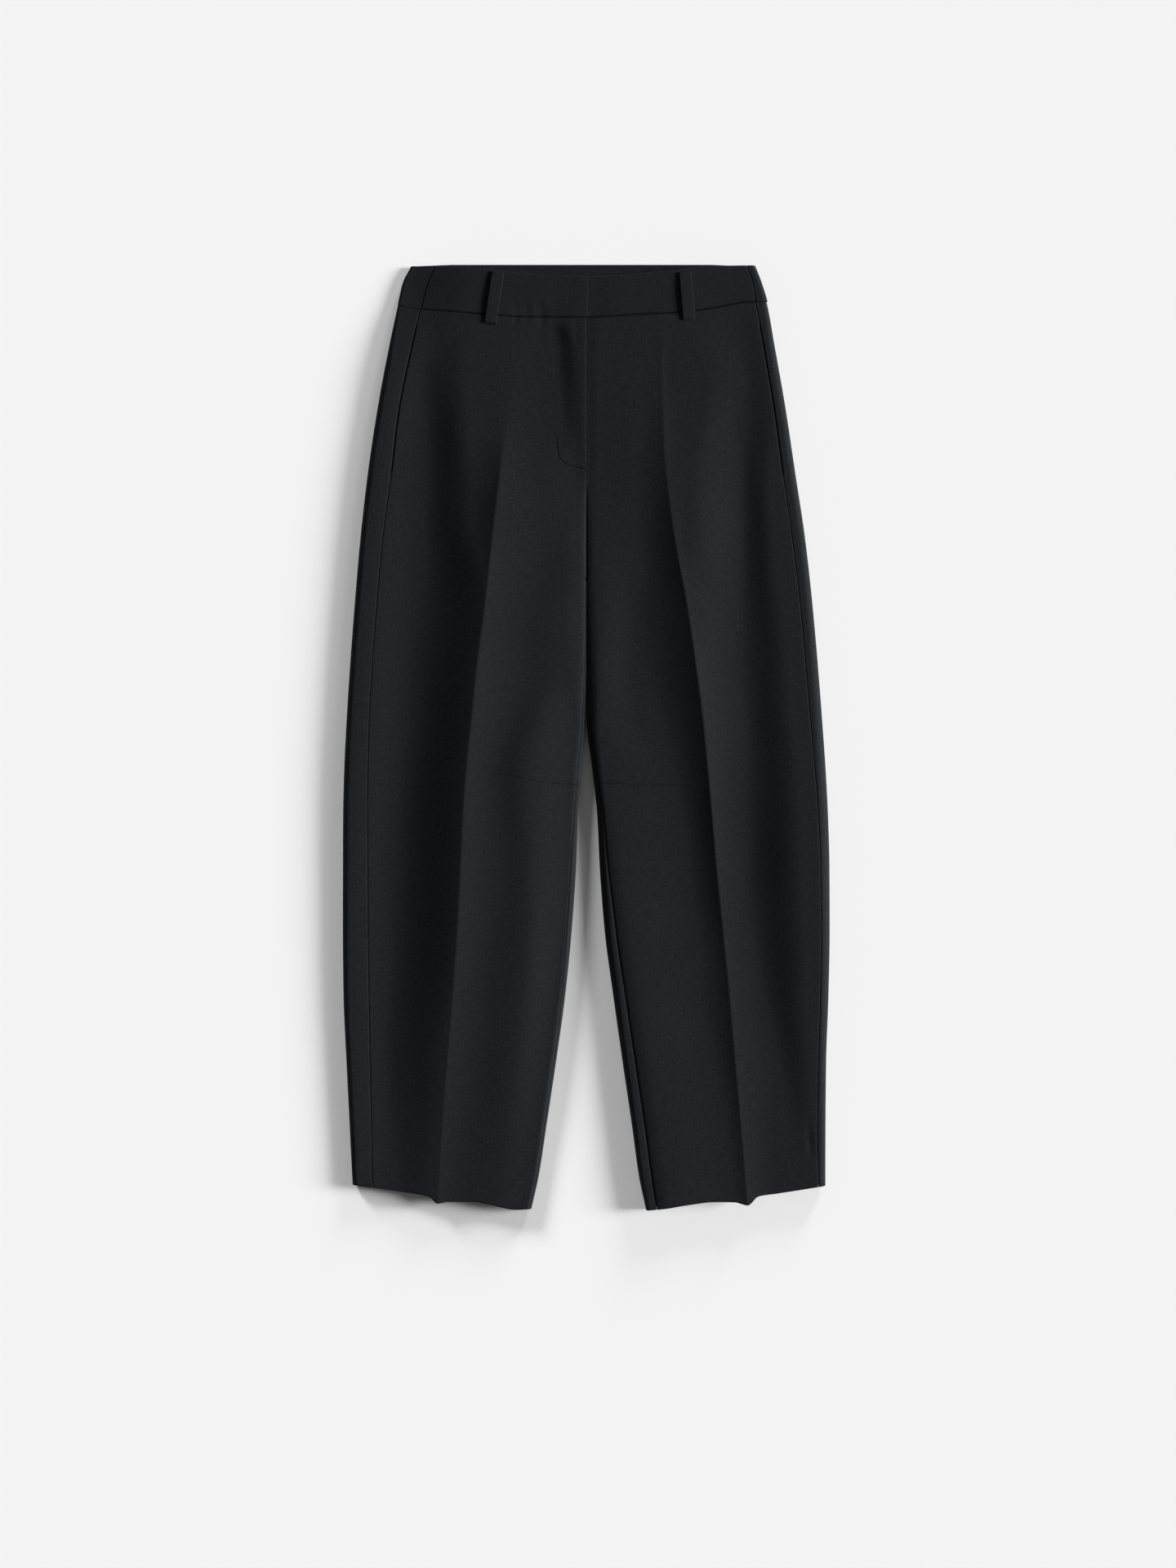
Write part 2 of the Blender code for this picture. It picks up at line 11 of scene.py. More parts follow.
import bpy
import numpy as np
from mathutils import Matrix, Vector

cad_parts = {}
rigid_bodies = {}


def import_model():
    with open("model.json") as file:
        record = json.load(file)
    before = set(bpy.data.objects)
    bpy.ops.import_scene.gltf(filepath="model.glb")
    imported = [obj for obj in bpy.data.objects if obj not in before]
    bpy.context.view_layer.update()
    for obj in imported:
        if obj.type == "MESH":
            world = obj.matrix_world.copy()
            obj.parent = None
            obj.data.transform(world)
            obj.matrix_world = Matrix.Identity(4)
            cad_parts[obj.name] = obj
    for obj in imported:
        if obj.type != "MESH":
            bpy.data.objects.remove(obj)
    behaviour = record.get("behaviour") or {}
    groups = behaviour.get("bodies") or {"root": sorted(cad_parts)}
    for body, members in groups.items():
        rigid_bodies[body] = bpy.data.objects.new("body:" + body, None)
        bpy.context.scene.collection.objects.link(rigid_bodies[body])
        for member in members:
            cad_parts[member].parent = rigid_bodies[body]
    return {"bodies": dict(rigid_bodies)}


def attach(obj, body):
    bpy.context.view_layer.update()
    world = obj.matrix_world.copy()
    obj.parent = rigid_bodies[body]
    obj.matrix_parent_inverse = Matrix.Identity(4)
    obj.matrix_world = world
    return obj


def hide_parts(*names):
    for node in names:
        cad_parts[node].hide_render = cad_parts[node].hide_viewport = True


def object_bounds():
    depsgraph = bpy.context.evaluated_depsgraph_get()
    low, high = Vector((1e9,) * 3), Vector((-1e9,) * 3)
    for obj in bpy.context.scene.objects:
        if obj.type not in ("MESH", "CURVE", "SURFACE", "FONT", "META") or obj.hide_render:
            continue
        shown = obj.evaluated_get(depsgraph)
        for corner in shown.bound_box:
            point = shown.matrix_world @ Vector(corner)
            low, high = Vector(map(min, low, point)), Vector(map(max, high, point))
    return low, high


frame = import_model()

bl_info = {
    "name": "Barrel Leg Trousers",
    "version": (1, 0, 0),
    "blender": (4, 5, 0),
    "location": "3D View > Sidebar > Trousers",
    "description": "Builds laid-flat trousers with pressed creases, and their studio",
    "category": "Object",
}


def table(row, *lines):
    """Makes a table: the numbers of each line take the names of the row's columns."""
    return tuple(row(*line) for line in lines)


MM = 0.001
BODY = next(iter(frame["bodies"]))
LOW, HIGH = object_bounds()
LENGTH = (HIGH[1] - LOW[1]) / MM
RIGHT, LEFT = -1.0, 1.0
QUARTER = np.pi / 2.0

# Sizes of the cut, in millimetres
SEAM_GAP = 0.16
WAIST_GAP = 0.16
WAIST_DOWN = 44.0
CROTCH_DOWN = 329.0
CROTCH_EASE = 4.0
FLY_DOWN = 217.0
ROLL_EASE = 28.0
HEM_DOWN = 975.0
BACK_TOP_DOWN = 0.1
BACK_SEAM_DOWN = 45.0
BACK_HEM_SHORT = 1.5
CENTRE_BACK_SHIFT = 26.0
FLOOR_EASE = 40.0
LAP_UNDER = 30.0
LAP_OVER = 1.6
LAP_RISE, LAP_DROP = 0.9, 1.1
LAP_SLOPE = 34.0
BAND_LIFT = 1.9
LIFT_START, LIFT_END = 60.0, 110.0
EDGE_REACH = 70.0

# The lap of the two fronts: its step, and the step more along the fly, the reach from the edge, and
# where it ends below; the right edge's lip and the stitching beside it, each with its half width
LAP_STEP, FLY_STEP, LAP_REACH = 0.5, 0.2, 12.0
FLY_EASE, LAP_END, LAP_EASE = 10.0, 440.0, 50.0
LIP_DROP, LIP_HALF = 0.5, 1.5
EDGE_STITCH_DROP, EDGE_STITCH_IN, EDGE_STITCH_HALF = 0.3, 2.6, 0.9
# The hem allowance inside raises the cloth by this, from this far above the edge
HEM_TURN_RISE, HEM_TURN, HEM_TURN_EASE = 0.2, 31.5, 2.5
# The crease is rounded near the waist, and sharp from the end of this run on
ROUND_CREASE, ROUND_START, ROUND_RUN = 6.0, 120.0, 110.0

# One row for each section across a leg. down: below the back waist edge. outer and inner: the
# leg's two edges, measured out from the centre front. crease: the pressed line. side_inset and
# inner_inset: how far the side seam and the inseam lie in from those edges, on the upper side.
Section = namedtuple("Section", "down outer inner crease side_inset inner_inset")

RIGHT_SECTIONS = table(Section,
    (0, 182.5, 0.2, 70, 25.1, 5),
    (18, 191, 0.2, 71, 25.4, 5),
    (44, 196.5, 0.2, 73, 24.4, 5),
    (82, 204.6, 0.2, 76.5, 23.8, 5),
    (150, 217.3, 0.2, 82.5, 22.6, 5),
    (218, 227.5, 0.2, 89.2, 24.6, 5),
    (286, 235.2, 0.2, 97.2, 23.4, 0.8),
    (354, 241.1, 0.2, 104.5, 23, 0.8),
    (422, 246.2, 0.2, 113.3, 23, 1.8),
    (474, 249.5, 0.6, 118.7, 23.6, 3.2),
    (525, 252, 5.4, 124, 24.6, 3),
    (575, 253.2, 8.6, 127.5, 25.4, 3.6),
    (626, 253.4, 10.4, 130, 25.8, 5.8),
    (694, 253.5, 15, 133.5, 26.3, 5.6),
    (762, 252.8, 21.8, 138.2, 26.6, 3.6),
    (830, 249.8, 31.2, 144.2, 24.6, 2.2),
    (898, 246.4, 41.4, 149.4, 22.6, 2),
    (950, 243.8, 49.4, 152.8, 21.3, 2),
    (985, 241.8, 57.2, 155, 20.5, 2),
)

LEFT_SECTIONS = table(Section,
    (0, 176.2, 0.2, 74, 9.2, 5),
    (18, 182.2, 0.2, 74.5, 9.6, 5),
    (44, 189, 0.2, 75, 12.2, 5),
    (82, 195.8, 0.2, 76.2, 12.2, 5),
    (150, 207.7, 0.2, 79.2, 12.6, 5),
    (218, 217.9, 0.2, 83.2, 13.6, 5),
    (286, 228.1, 0.2, 92, 14, 0.8),
    (354, 235.7, 0.2, 104.6, 13.4, 0.8),
    (422, 241.7, 0.2, 114.7, 13.4, 1.8),
    (474, 245.7, 0.6, 121.4, 12.9, 3.6),
    (525, 249.2, 6.2, 126.4, 11.9, 4.2),
    (575, 251.8, 11.6, 131, 10.8, 6.4),
    (626, 253.2, 14, 135.4, 10.1, 8.6),
    (694, 253.5, 19.2, 142.3, 9.6, 11.8),
    (762, 252.3, 28.2, 149.2, 9.2, 12.7),
    (830, 250, 37.8, 155, 8.6, 13.2),
    (898, 249.4, 47.8, 161.1, 9, 13.4),
    (950, 249.3, 55, 165.4, 7.8, 13.2),
    (985, 249.3, 62.3, 168.2, 7.2, 11.4),
)

# Heights above the table, from the outer edge inwards: over the outer roll, in the trough beside
# it, on the pressed crease, over the shoulder on its inner side and over the centre front or the
# inner roll.
Level = namedtuple("Level", "down outer_roll trough crest shoulder inner_roll")

RIGHT_LEVELS = table(Level,
    (0, 5.4, 11.5, 12, 12.5, 12.5),
    (22, 6.2, 11.8, 12.4, 13, 13),
    (44, 8, 12, 13, 13.4, 13.5),
    (56, 9.3, 11.8, 13.3, 13.3, 14.2),
    (70, 10.6, 11.5, 13.6, 13.2, 16.6),
    (92, 11.9, 10.9, 14.5, 13.8, 17.3),
    (116, 12.8, 10.3, 15.6, 14.7, 18.2),
    (134, 12.9, 10.2, 16.8, 15.6, 18.4),
    (167, 13, 10.4, 18.8, 16.6, 18.4),
    (190, 13.2, 10.6, 21.2, 18, 18),
    (218, 13.5, 10.8, 23.8, 19.4, 17),
    (269, 13.6, 10.6, 25.6, 18.6, 17.4),
    (320, 13.8, 10.5, 25.8, 17.4, 17.4),
    (371, 13.8, 10.3, 25.8, 18.6, 17.2),
    (422, 13.8, 10.2, 26, 17.6, 16.4),
    (473, 13.8, 10.1, 26, 20.2, 14.6),
    (524, 13.8, 10, 26.4, 23.2, 15.4),
    (575, 13.6, 10, 26.4, 22.8, 15),
    (626, 13.4, 10, 26.2, 22.2, 14.8),
    (728, 12.8, 10, 24.6, 22.2, 15.8),
    (779, 12.5, 10, 22.8, 20.8, 15.4),
    (830, 12.3, 10, 20.8, 19.4, 15),
    (932, 12, 10, 15.2, 14.4, 12.4),
    (985, 11.5, 10, 13.2, 12.8, 11.6),
)

LEFT_LEVELS = table(Level,
    (0, 12, 12, 13, 13, 13),
    (44, 13, 12.6, 13.5, 13.4, 13.4),
    (65, 13.6, 12.6, 14.2, 13.8, 13.4),
    (116, 14.4, 12.6, 15, 14.4, 13.6),
    (167, 14.9, 12, 16.6, 15.1, 14),
    (218, 15.4, 11.7, 19.4, 15.6, 14.4),
    (269, 15.2, 10.6, 20.4, 14.4, 14.4),
    (320, 15.4, 10.2, 21.2, 13.6, 14.8),
    (371, 16.2, 10.2, 21.2, 11.8, 14.2),
    (422, 17, 10.6, 21.4, 11.8, 15),
    (473, 18.2, 11.2, 21.2, 12.8, 15.6),
    (524, 19.6, 11.8, 19.6, 12.8, 14.8),
    (575, 20.6, 11.8, 17.6, 11.4, 14),
    (626, 21, 11.4, 17, 11.4, 14.2),
    (677, 20, 11.8, 15.8, 10.8, 14.6),
    (728, 19.2, 11.8, 16.3, 12.5, 15.4),
    (779, 17.4, 11.8, 16, 12, 16),
    (830, 15.4, 11.8, 16.6, 13.4, 16.6),
    (932, 12.8, 12.4, 16, 14.4, 16.8),
    (985, 12, 11.8, 15.4, 14.2, 16.8),
)

# The pressed crease's sharp edge: how far the cloth falls away from it on its outer and its inner
# side, and how far from it that fall ends.
Cusp = namedtuple("Cusp", "down outer_fall outer_end inner_fall inner_end")

RIGHT_CUSPS = table(Cusp,
    (0, 0, 30, 0, 30),
    (70, 0, 30, 0, 30),
    (116, 0.2, 30, 0.4, 30),
    (167, 0.8, 30, 1.2, 30),
    (218, 4.2, 40, 3.4, 42),
    (269, 6.2, 44, 7, 74),
    (320, 5.6, 50, 8.4, 64),
    (371, 4.4, 45, 7.2, 54),
    (422, 3.8, 50, 8.6, 57),
    (473, 4, 55, 6.8, 45),
    (524, 4, 60, 5, 34),
    (626, 4.2, 60, 5.4, 40),
    (728, 3.4, 50, 4.2, 36),
    (830, 2.5, 40, 3.1, 34),
    (932, 1, 25, 1.9, 26),
    (985, 0.8, 20, 1.4, 22),
)

LEFT_CUSPS = table(Cusp,
    (0, 0, 20, 0, 20),
    (65, 0, 20, 0, 20),
    (116, 0.2, 20, 0.3, 20),
    (167, 0.6, 16, 1.5, 20),
    (218, 0.8, 20, 3.8, 34),
    (269, 1, 20, 6, 38),
    (320, 2, 18, 7.6, 43),
    (371, 6, 45, 9.4, 60),
    (422, 9.6, 48, 9.6, 58),
    (473, 10, 50, 8.4, 48),
    (524, 7.8, 42, 6.8, 38),
    (575, 5.8, 36, 6.2, 32),
    (626, 5.4, 35, 5.6, 30),
    (677, 4, 32, 5, 30),
    (728, 4.5, 35, 3.8, 28),
    (779, 4.2, 34, 4, 30),
    (830, 4.8, 42, 3.2, 24),
    (932, 3.6, 30, 1.6, 16),
    (985, 3.4, 28, 1.2, 14),
)

# Where those heights change: the middle of each slope, out from the centre front, and its half
# width. dip: outer roll to trough. rise: trough to the crease's foot. fall: the crease's other
# foot to the shoulder. ease: shoulder to the inner roll.
Slope = namedtuple("Slope", "down dip dip_half rise rise_half fall fall_half ease ease_half")

RIGHT_SLOPES = table(Slope,
    (0, 148, 34, 100, 24, 60, 20, 30, 24),
    (44, 160, 34, 140, 24, 60, 20, 26, 12),
    (70, 169, 30, 143, 24, 60.5, 21.5, 23.5, 9.5),
    (92, 176, 26, 146, 24, 61, 23, 19.5, 11),
    (116, 184, 22, 149, 24, 62, 24, 18.5, 11),
    (167, 190, 20, 145, 22, 60, 26, 16, 10),
    (190, 193, 21, 144, 23, 61, 27, 19, 15),
    (218, 196, 22, 143, 24, 62, 28, 24, 24),
    (269, 200, 24, 144, 24, 60, 26, 20, 22),
    (320, 204, 26, 138, 30, 56, 24, 18, 20),
    (371, 207, 26, 140, 38, 50, 20, 18, 20),
    (422, 210, 26, 145, 38, 48, 12, 20, 22),
    (473, 214, 26, 148, 38, 64, 12, 28, 25),
    (524, 218, 26, 154, 38, 80, 14, 34, 30),
    (575, 222, 26, 158, 38, 78, 14, 35, 28),
    (626, 224, 24, 161, 38, 74, 14, 36, 26),
    (728, 226, 24, 168, 36, 84, 20, 44, 20),
    (830, 226, 22, 180, 32, 94, 18, 56, 20),
    (932, 224, 20, 180, 22, 107, 20, 70, 18),
    (985, 222, 20, 180, 18, 112, 20, 78, 18),
)

LEFT_SLOPES = table(Slope,
    (44, 168, 14, 120, 36, 60, 20, 30, 20),
    (116, 178, 14, 150, 22, 64, 22, 32, 26),
    (167, 181, 17, 142, 21, 66, 20, 32, 24),
    (218, 176, 14, 138, 28, 66, 20, 32, 22),
    (269, 178, 15, 138, 28, 66, 20, 33, 20),
    (320, 180, 17, 136, 30, 66, 20, 33, 18),
    (371, 184, 21, 142, 24, 66, 20, 32, 18),
    (422, 187, 23, 145, 24, 66, 20, 30, 18),
    (473, 190, 23, 150, 22, 70, 20, 34, 22),
    (524, 194, 26, 154, 20, 80, 20, 54, 30),
    (575, 195, 27, 156, 18, 84, 20, 60, 34),
    (626, 196, 28, 156, 16, 88, 20, 66, 36),
    (677, 199, 27, 160, 16, 94, 20, 72, 36),
    (728, 203, 24, 166, 14, 100, 20, 80, 36),
    (779, 208, 20, 176, 14, 106, 20, 88, 36),
    (830, 216, 16, 184, 12, 112, 20, 95, 36),
    (932, 226, 14, 190, 12, 120, 20, 112, 34),
    (985, 228, 14, 192, 12, 124, 20, 118, 32),
)

# The roll at a leg's inner edge, which starts at the foot of the fly: how far it reaches across,
# and how far its edge lies below the upper side. The legs lie edge to edge for a hand's width
# below the crotch, the right one over.
InnerRoll = namedtuple("InnerRoll", "down reach drop")

RIGHT_ROLLS = table(InnerRoll,
    (217, 8, 0.1),
    (245, 16, 2),
    (290, 22, 4),
    (325, 22, 4.4),
    (400, 20, 4.8),
    (450, 13, 5.2),
    (490, 8, 6.4),
    (560, 7.4, 7.4),
    (700, 7, 9),
    (830, 6.6, 9.4),
    (985, 5.5, 6.6),
)

LEFT_ROLLS = table(InnerRoll,
    (217, 5, 0.1),
    (245, 6, 0.9),
    (290, 8, 1.9),
    (325, 9, 2.4),
    (390, 13, 4),
    (430, 14, 5.8),
    (480, 13, 8.8),
    (560, 10, 8.8),
    (626, 9, 9.2),
    (728, 8, 9.6),
    (830, 6.6, 9.8),
    (985, 4.4, 9.2),
)

# Soft folds and dimples: a bell across, with its own reach towards the centre and towards the
# outer edge, that runs from start to end down the leg and passes near, middle and far.
Fold = namedtuple("Fold", "side start end near middle far height inward outward")

FOLDS = table(Fold,
    (RIGHT, 38, 66, 73, 73, 74, -0.7, 5, 5),
    (RIGHT, 36, 64, 63, 62.5, 62, -0.8, 5, 4),
    (RIGHT, 38, 70, 49, 47, 44, -0.9, 6, 6),
    (LEFT, 890, 930, 229, 232, 233, -0.9, 4, 5),
    (LEFT, 60, 215, 78, 80, 83, 0.3, 6, 4),
)

# The front waist edge and the waist seam, by their place across the garment.
WaistPoint = namedtuple("WaistPoint", "across top seam")

WAIST = table(WaistPoint,
    (-205, 1.5, 41),
    (-171, 2, 47),
    (-112, 5.6, 52.4),
    (-61, 10.8, 55.9),
    (0, 13.2, 56.2),
    (41, 11.4, 53.8),
    (98, 6.5, 50.7),
    (137, 2.6, 45.3),
    (164, 2, 40.4),
    (205, 1.5, 38.5),
)

# The front hem of each leg, out from the centre front. The crease tips it down.
HemPoint = namedtuple("HemPoint", "out down")

RIGHT_HEM = table(HemPoint,
    (57, 984),
    (70, 984.5),
    (101, 978.8),
    (118, 976.2),
    (143, 976.2),
    (154.5, 977.8),
    (163, 971),
    (188, 966.5),
    (242, 958.8),
)

LEFT_HEM = table(HemPoint,
    (62, 985),
    (78, 983.4),
    (108, 978.8),
    (132, 976.2),
    (154, 976.4),
    (167.7, 979.5),
    (179.6, 970.4),
    (199, 967.6),
    (249, 959.7),
)

# Fine lines on the fronts, the fly's stitching and the mark across each leg, drawn as grooves with
# painted shade: places out from the centre front and down, then how strong the line is at its start and
# at its end, its depth and its half width.
Line = namedtuple("Line", "side points start end depth half_width")

LINES = table(Line,
    (RIGHT, ((30.2, 60), (30.8, 120), (30.8, 187)), 0.05, 0.3, 0.5, 0.9),
    (RIGHT, ((30.8, 187), (28.6, 202.3), (23.5, 207.4), (16.7, 210.8), (4, 213.9), (-0.6, 215.1)),
        1, 1.5, 0.7, 1.1),
    (RIGHT, ((87.5, 531.3), (66, 535.2), (51.6, 538.7), (30.8, 541.2), (5.5, 542.5)),
        0.45, 1, 0.9, 1.1),
    (LEFT, ((104, 543.2), (70, 542.3), (15, 540.8)), 0.45, 1, 0.9, 1.1),
)

# Belt loops: the middle of each end, across the garment and down. The back ones lie under it. bow
# is how far the loop stands up halfway.
BeltLoop = namedtuple("BeltLoop", "name on_top top_across top_down end_across end_down bow")

BELT_LOOPS = table(BeltLoop,
    ("belt_loop_front_right", True, -91.5, 8.7, -99.5, 62.9, 0.9),
    ("belt_loop_front_left", True, 103, 8.7, 107.2, 59.1, 0.9),
    ("belt_loop_back_right", False, -122, 1.6, -126, 56, 0),
    ("belt_loop_back_centre", False, 26, 0, 26, 56, 0),
    ("belt_loop_back_left", False, 132, 1.6, 136, 56, 0),
)

# Grooves at the seams, in millimetres: depth, half width and the half width of the painted shade along
# them
SEAM_DEPTH, SEAM_HALF, SEAM_SHADE = 0.5, 1.2, 1.6
POCKET_DEPTH, POCKET_HALF, POCKET_SHADE = 1.2, 1.7, 2.2
WAIST_DEPTH, WAIST_HALF, WAIST_SHADE = 1.0, 1.8, 2.6
POCKET_START, POCKET_END, POCKET_EASE = 61.0, 223.0, 8.0
INSEAM_EASE, INSEAM_SHARE = 40.0, 0.6
# The left leg's strip beyond its inseam lies lower, with a slope up from the seam on the front
STRIP_DROP, STRIP_RAMP, STRIP_START, STRIP_EASE = 1.6, 15.0, 520.0, 110.0
STRIP_LIP, STRIP_LIP_HALF = 0.2, 3.0
# How strongly painted shade darkens the side seam, the inseam, the fine lines and the band's side seam,
# against one at the waist seam
SIDE_PAINTED_SHADE, INSEAM_PAINTED_SHADE, LINE_PAINTED_SHADE, BAND_SIDE_PAINTED_SHADE = 0.3, 0.75, 0.9, 0.2
INSEAM_PAINTED_SHADE_START, INSEAM_PAINTED_SHADE_EASE = 110.0, 60.0
# The waistband's top edge is painted lighter, a painted highlight along its rolled edge
RIM_LIGHT, RIM_HALF = 0.45, 2.6
BAND_SEAM_SHARE = 0.6
# Belt loops: clearance from the band, the rounding of the edges and the stitching along them, which
# lie at shares of the width, and the drop of the lower end, at a share of the length
LOOP_LENGTH, LOOP_CLEAR = 58.0, 0.3
LOOP_EDGE_DROP, LOOP_EDGE_HALF = 0.5, 0.09
LOOP_STITCH_DROP, LOOP_STITCH_OUT, LOOP_STITCH_HALF = 0.12, 0.34, 0.05
LOOP_END_DROP, LOOP_END_START, LOOP_END_RUN = 0.8, 0.97, 0.03
# Bevels of the edges of the waistband and of the loops
BAND_BEVEL, LOOP_BEVEL = 0.5, 0.3

# Cloth, in metres: the pitch and rise of the yarns, the slubs' width, length and rise, and the fuzz
YARN, YARN_RISE = 0.00045, 0.00006
SLUB_WIDE, SLUB_LONG, SLUB_RISE = 0.0015, 0.009, 0.00015
FUZZ_SIZE = 0.0022
# How strongly the painted shade of the grooves darkens the colour
PAINTED_SHADE_STRENGTH = 0.9
ROUGHNESS, SPECULAR, SHEEN, SHEEN_ROUGHNESS = 0.85, 0.2, 0.02, 0.5
PANEL_SLUB, BAND_SLUB = 0.95, 0.7

# Studio: the two low fills on the floor (turn from the right towards the top, height and size, in
# degrees), the floor, the room's colour and the camera, in metres
RIGHT_FILL = (66.0, 12.0, 12.0)
LEFT_FILL = (125.0, 20.0, 14.0)
FLOOR_HALF, FLOOR_DROP, FLOOR_ROUGHNESS = 15.0, 0.0002, 0.9
ROOM_COLOUR = (0.88, 0.88, 0.88, 1.0)
FIELD, DISTANCE, CLOTH_HEIGHT, SENSOR = 1.632, 3.4, 0.010, 36.0
CAMERA_ACROSS, CAMERA_ALONG, CAMERA_END = 0.00196, -0.04895, 100.0


def smooth(share):
    """Eases from 0 to 1 as share goes from 0 to 1: share squared times three less twice share."""
    share = np.clip(share, 0.0, 1.0)
    return share * share * (3.0 - 2.0 * share)


def steady_curve(knots, values):
    """Gives a function that runs smoothly through the values and never overshoots them: a cubic
    between each two knots, whose slopes are the harmonic means of the slopes beside each knot."""
    knots = np.asarray(knots, float)
    values = np.asarray(values, float)
    step = np.diff(knots)
    slope = np.diff(values) / step
    near = 2.0 * step[1:] + step[:-1]
    far = step[1:] + 2.0 * step[:-1]
    turns = slope[:-1] * slope[1:] <= 0.0
    before = np.where(turns, 1.0, slope[:-1])
    after = np.where(turns, 1.0, slope[1:])
    middle = np.where(turns, 0.0, (near + far) / (near / before + far / after))
    tangent = np.concatenate([slope[:1], middle, slope[-1:]])

    def at(place):
        place = np.clip(np.asarray(place, float), knots[0], knots[-1])
        i = np.clip(np.searchsorted(knots, place, side="right") - 1, 0, len(step) - 1)
        t = (place - knots[i]) / step[i]
        leave = (1.0 - t) ** 2 * ((1.0 + 2.0 * t) * values[i] + t * step[i] * tangent[i])
        arrive = t * t * ((3.0 - 2.0 * t) * values[i + 1] + (t - 1.0) * step[i] * tangent[i + 1])
        return leave + arrive

    return at


def table_curve(rows, along, column):
    """Gives one column of a table as a curve along another column."""
    return steady_curve([getattr(r, along) for r in rows], [getattr(r, column) for r in rows])


def lift(down):
    """Height of the underside above the table: the band lies on its back loops."""
    return BAND_LIFT * (1.0 - smooth((down - LIFT_START) / (LIFT_END - LIFT_START)))


def line_share(points, out, down):
    """Distance of each place from a line of points, and how far along the line its foot lies,
    as a share of the line: the nearest foot on any of its straight steps."""
    ends = np.asarray(points, float)
    lengths = np.hypot(*np.diff(ends, axis=0).T)
    before = np.concatenate([[0.0], np.cumsum(lengths)[:-1]])
    best = np.full(np.broadcast(out, down).shape, 1e6)
    share = np.zeros(best.shape)
    for a, b, length, start in zip(ends[:-1], ends[1:], lengths, before):
        run = (b - a) / length
        t = np.clip((out - a[0]) * run[0] + (down - a[1]) * run[1], 0.0, length)
        away = np.hypot(out - a[0] - run[0] * t, down - a[1] - run[1] * t)
        share = np.where(away < best, (start + t) / lengths.sum(), share)
        best = np.minimum(best, away)
    return best, share


def rounded(high, from_edge, radius, middle):
    """Brings a height down to the middle of the roll at the edge, as a quarter ellipse."""
    rise = np.sqrt(1.0 - (1.0 - np.clip(from_edge / radius, 0.0, 1.0)) ** 2)
    return middle + (high - middle) * rise


def groove(away, half_width):
    """A groove with round shoulders: one at its bottom, falling to nothing at its half width."""
    return np.clip(1.0 - np.abs(away) / half_width, 0.0, 1.0) ** 2


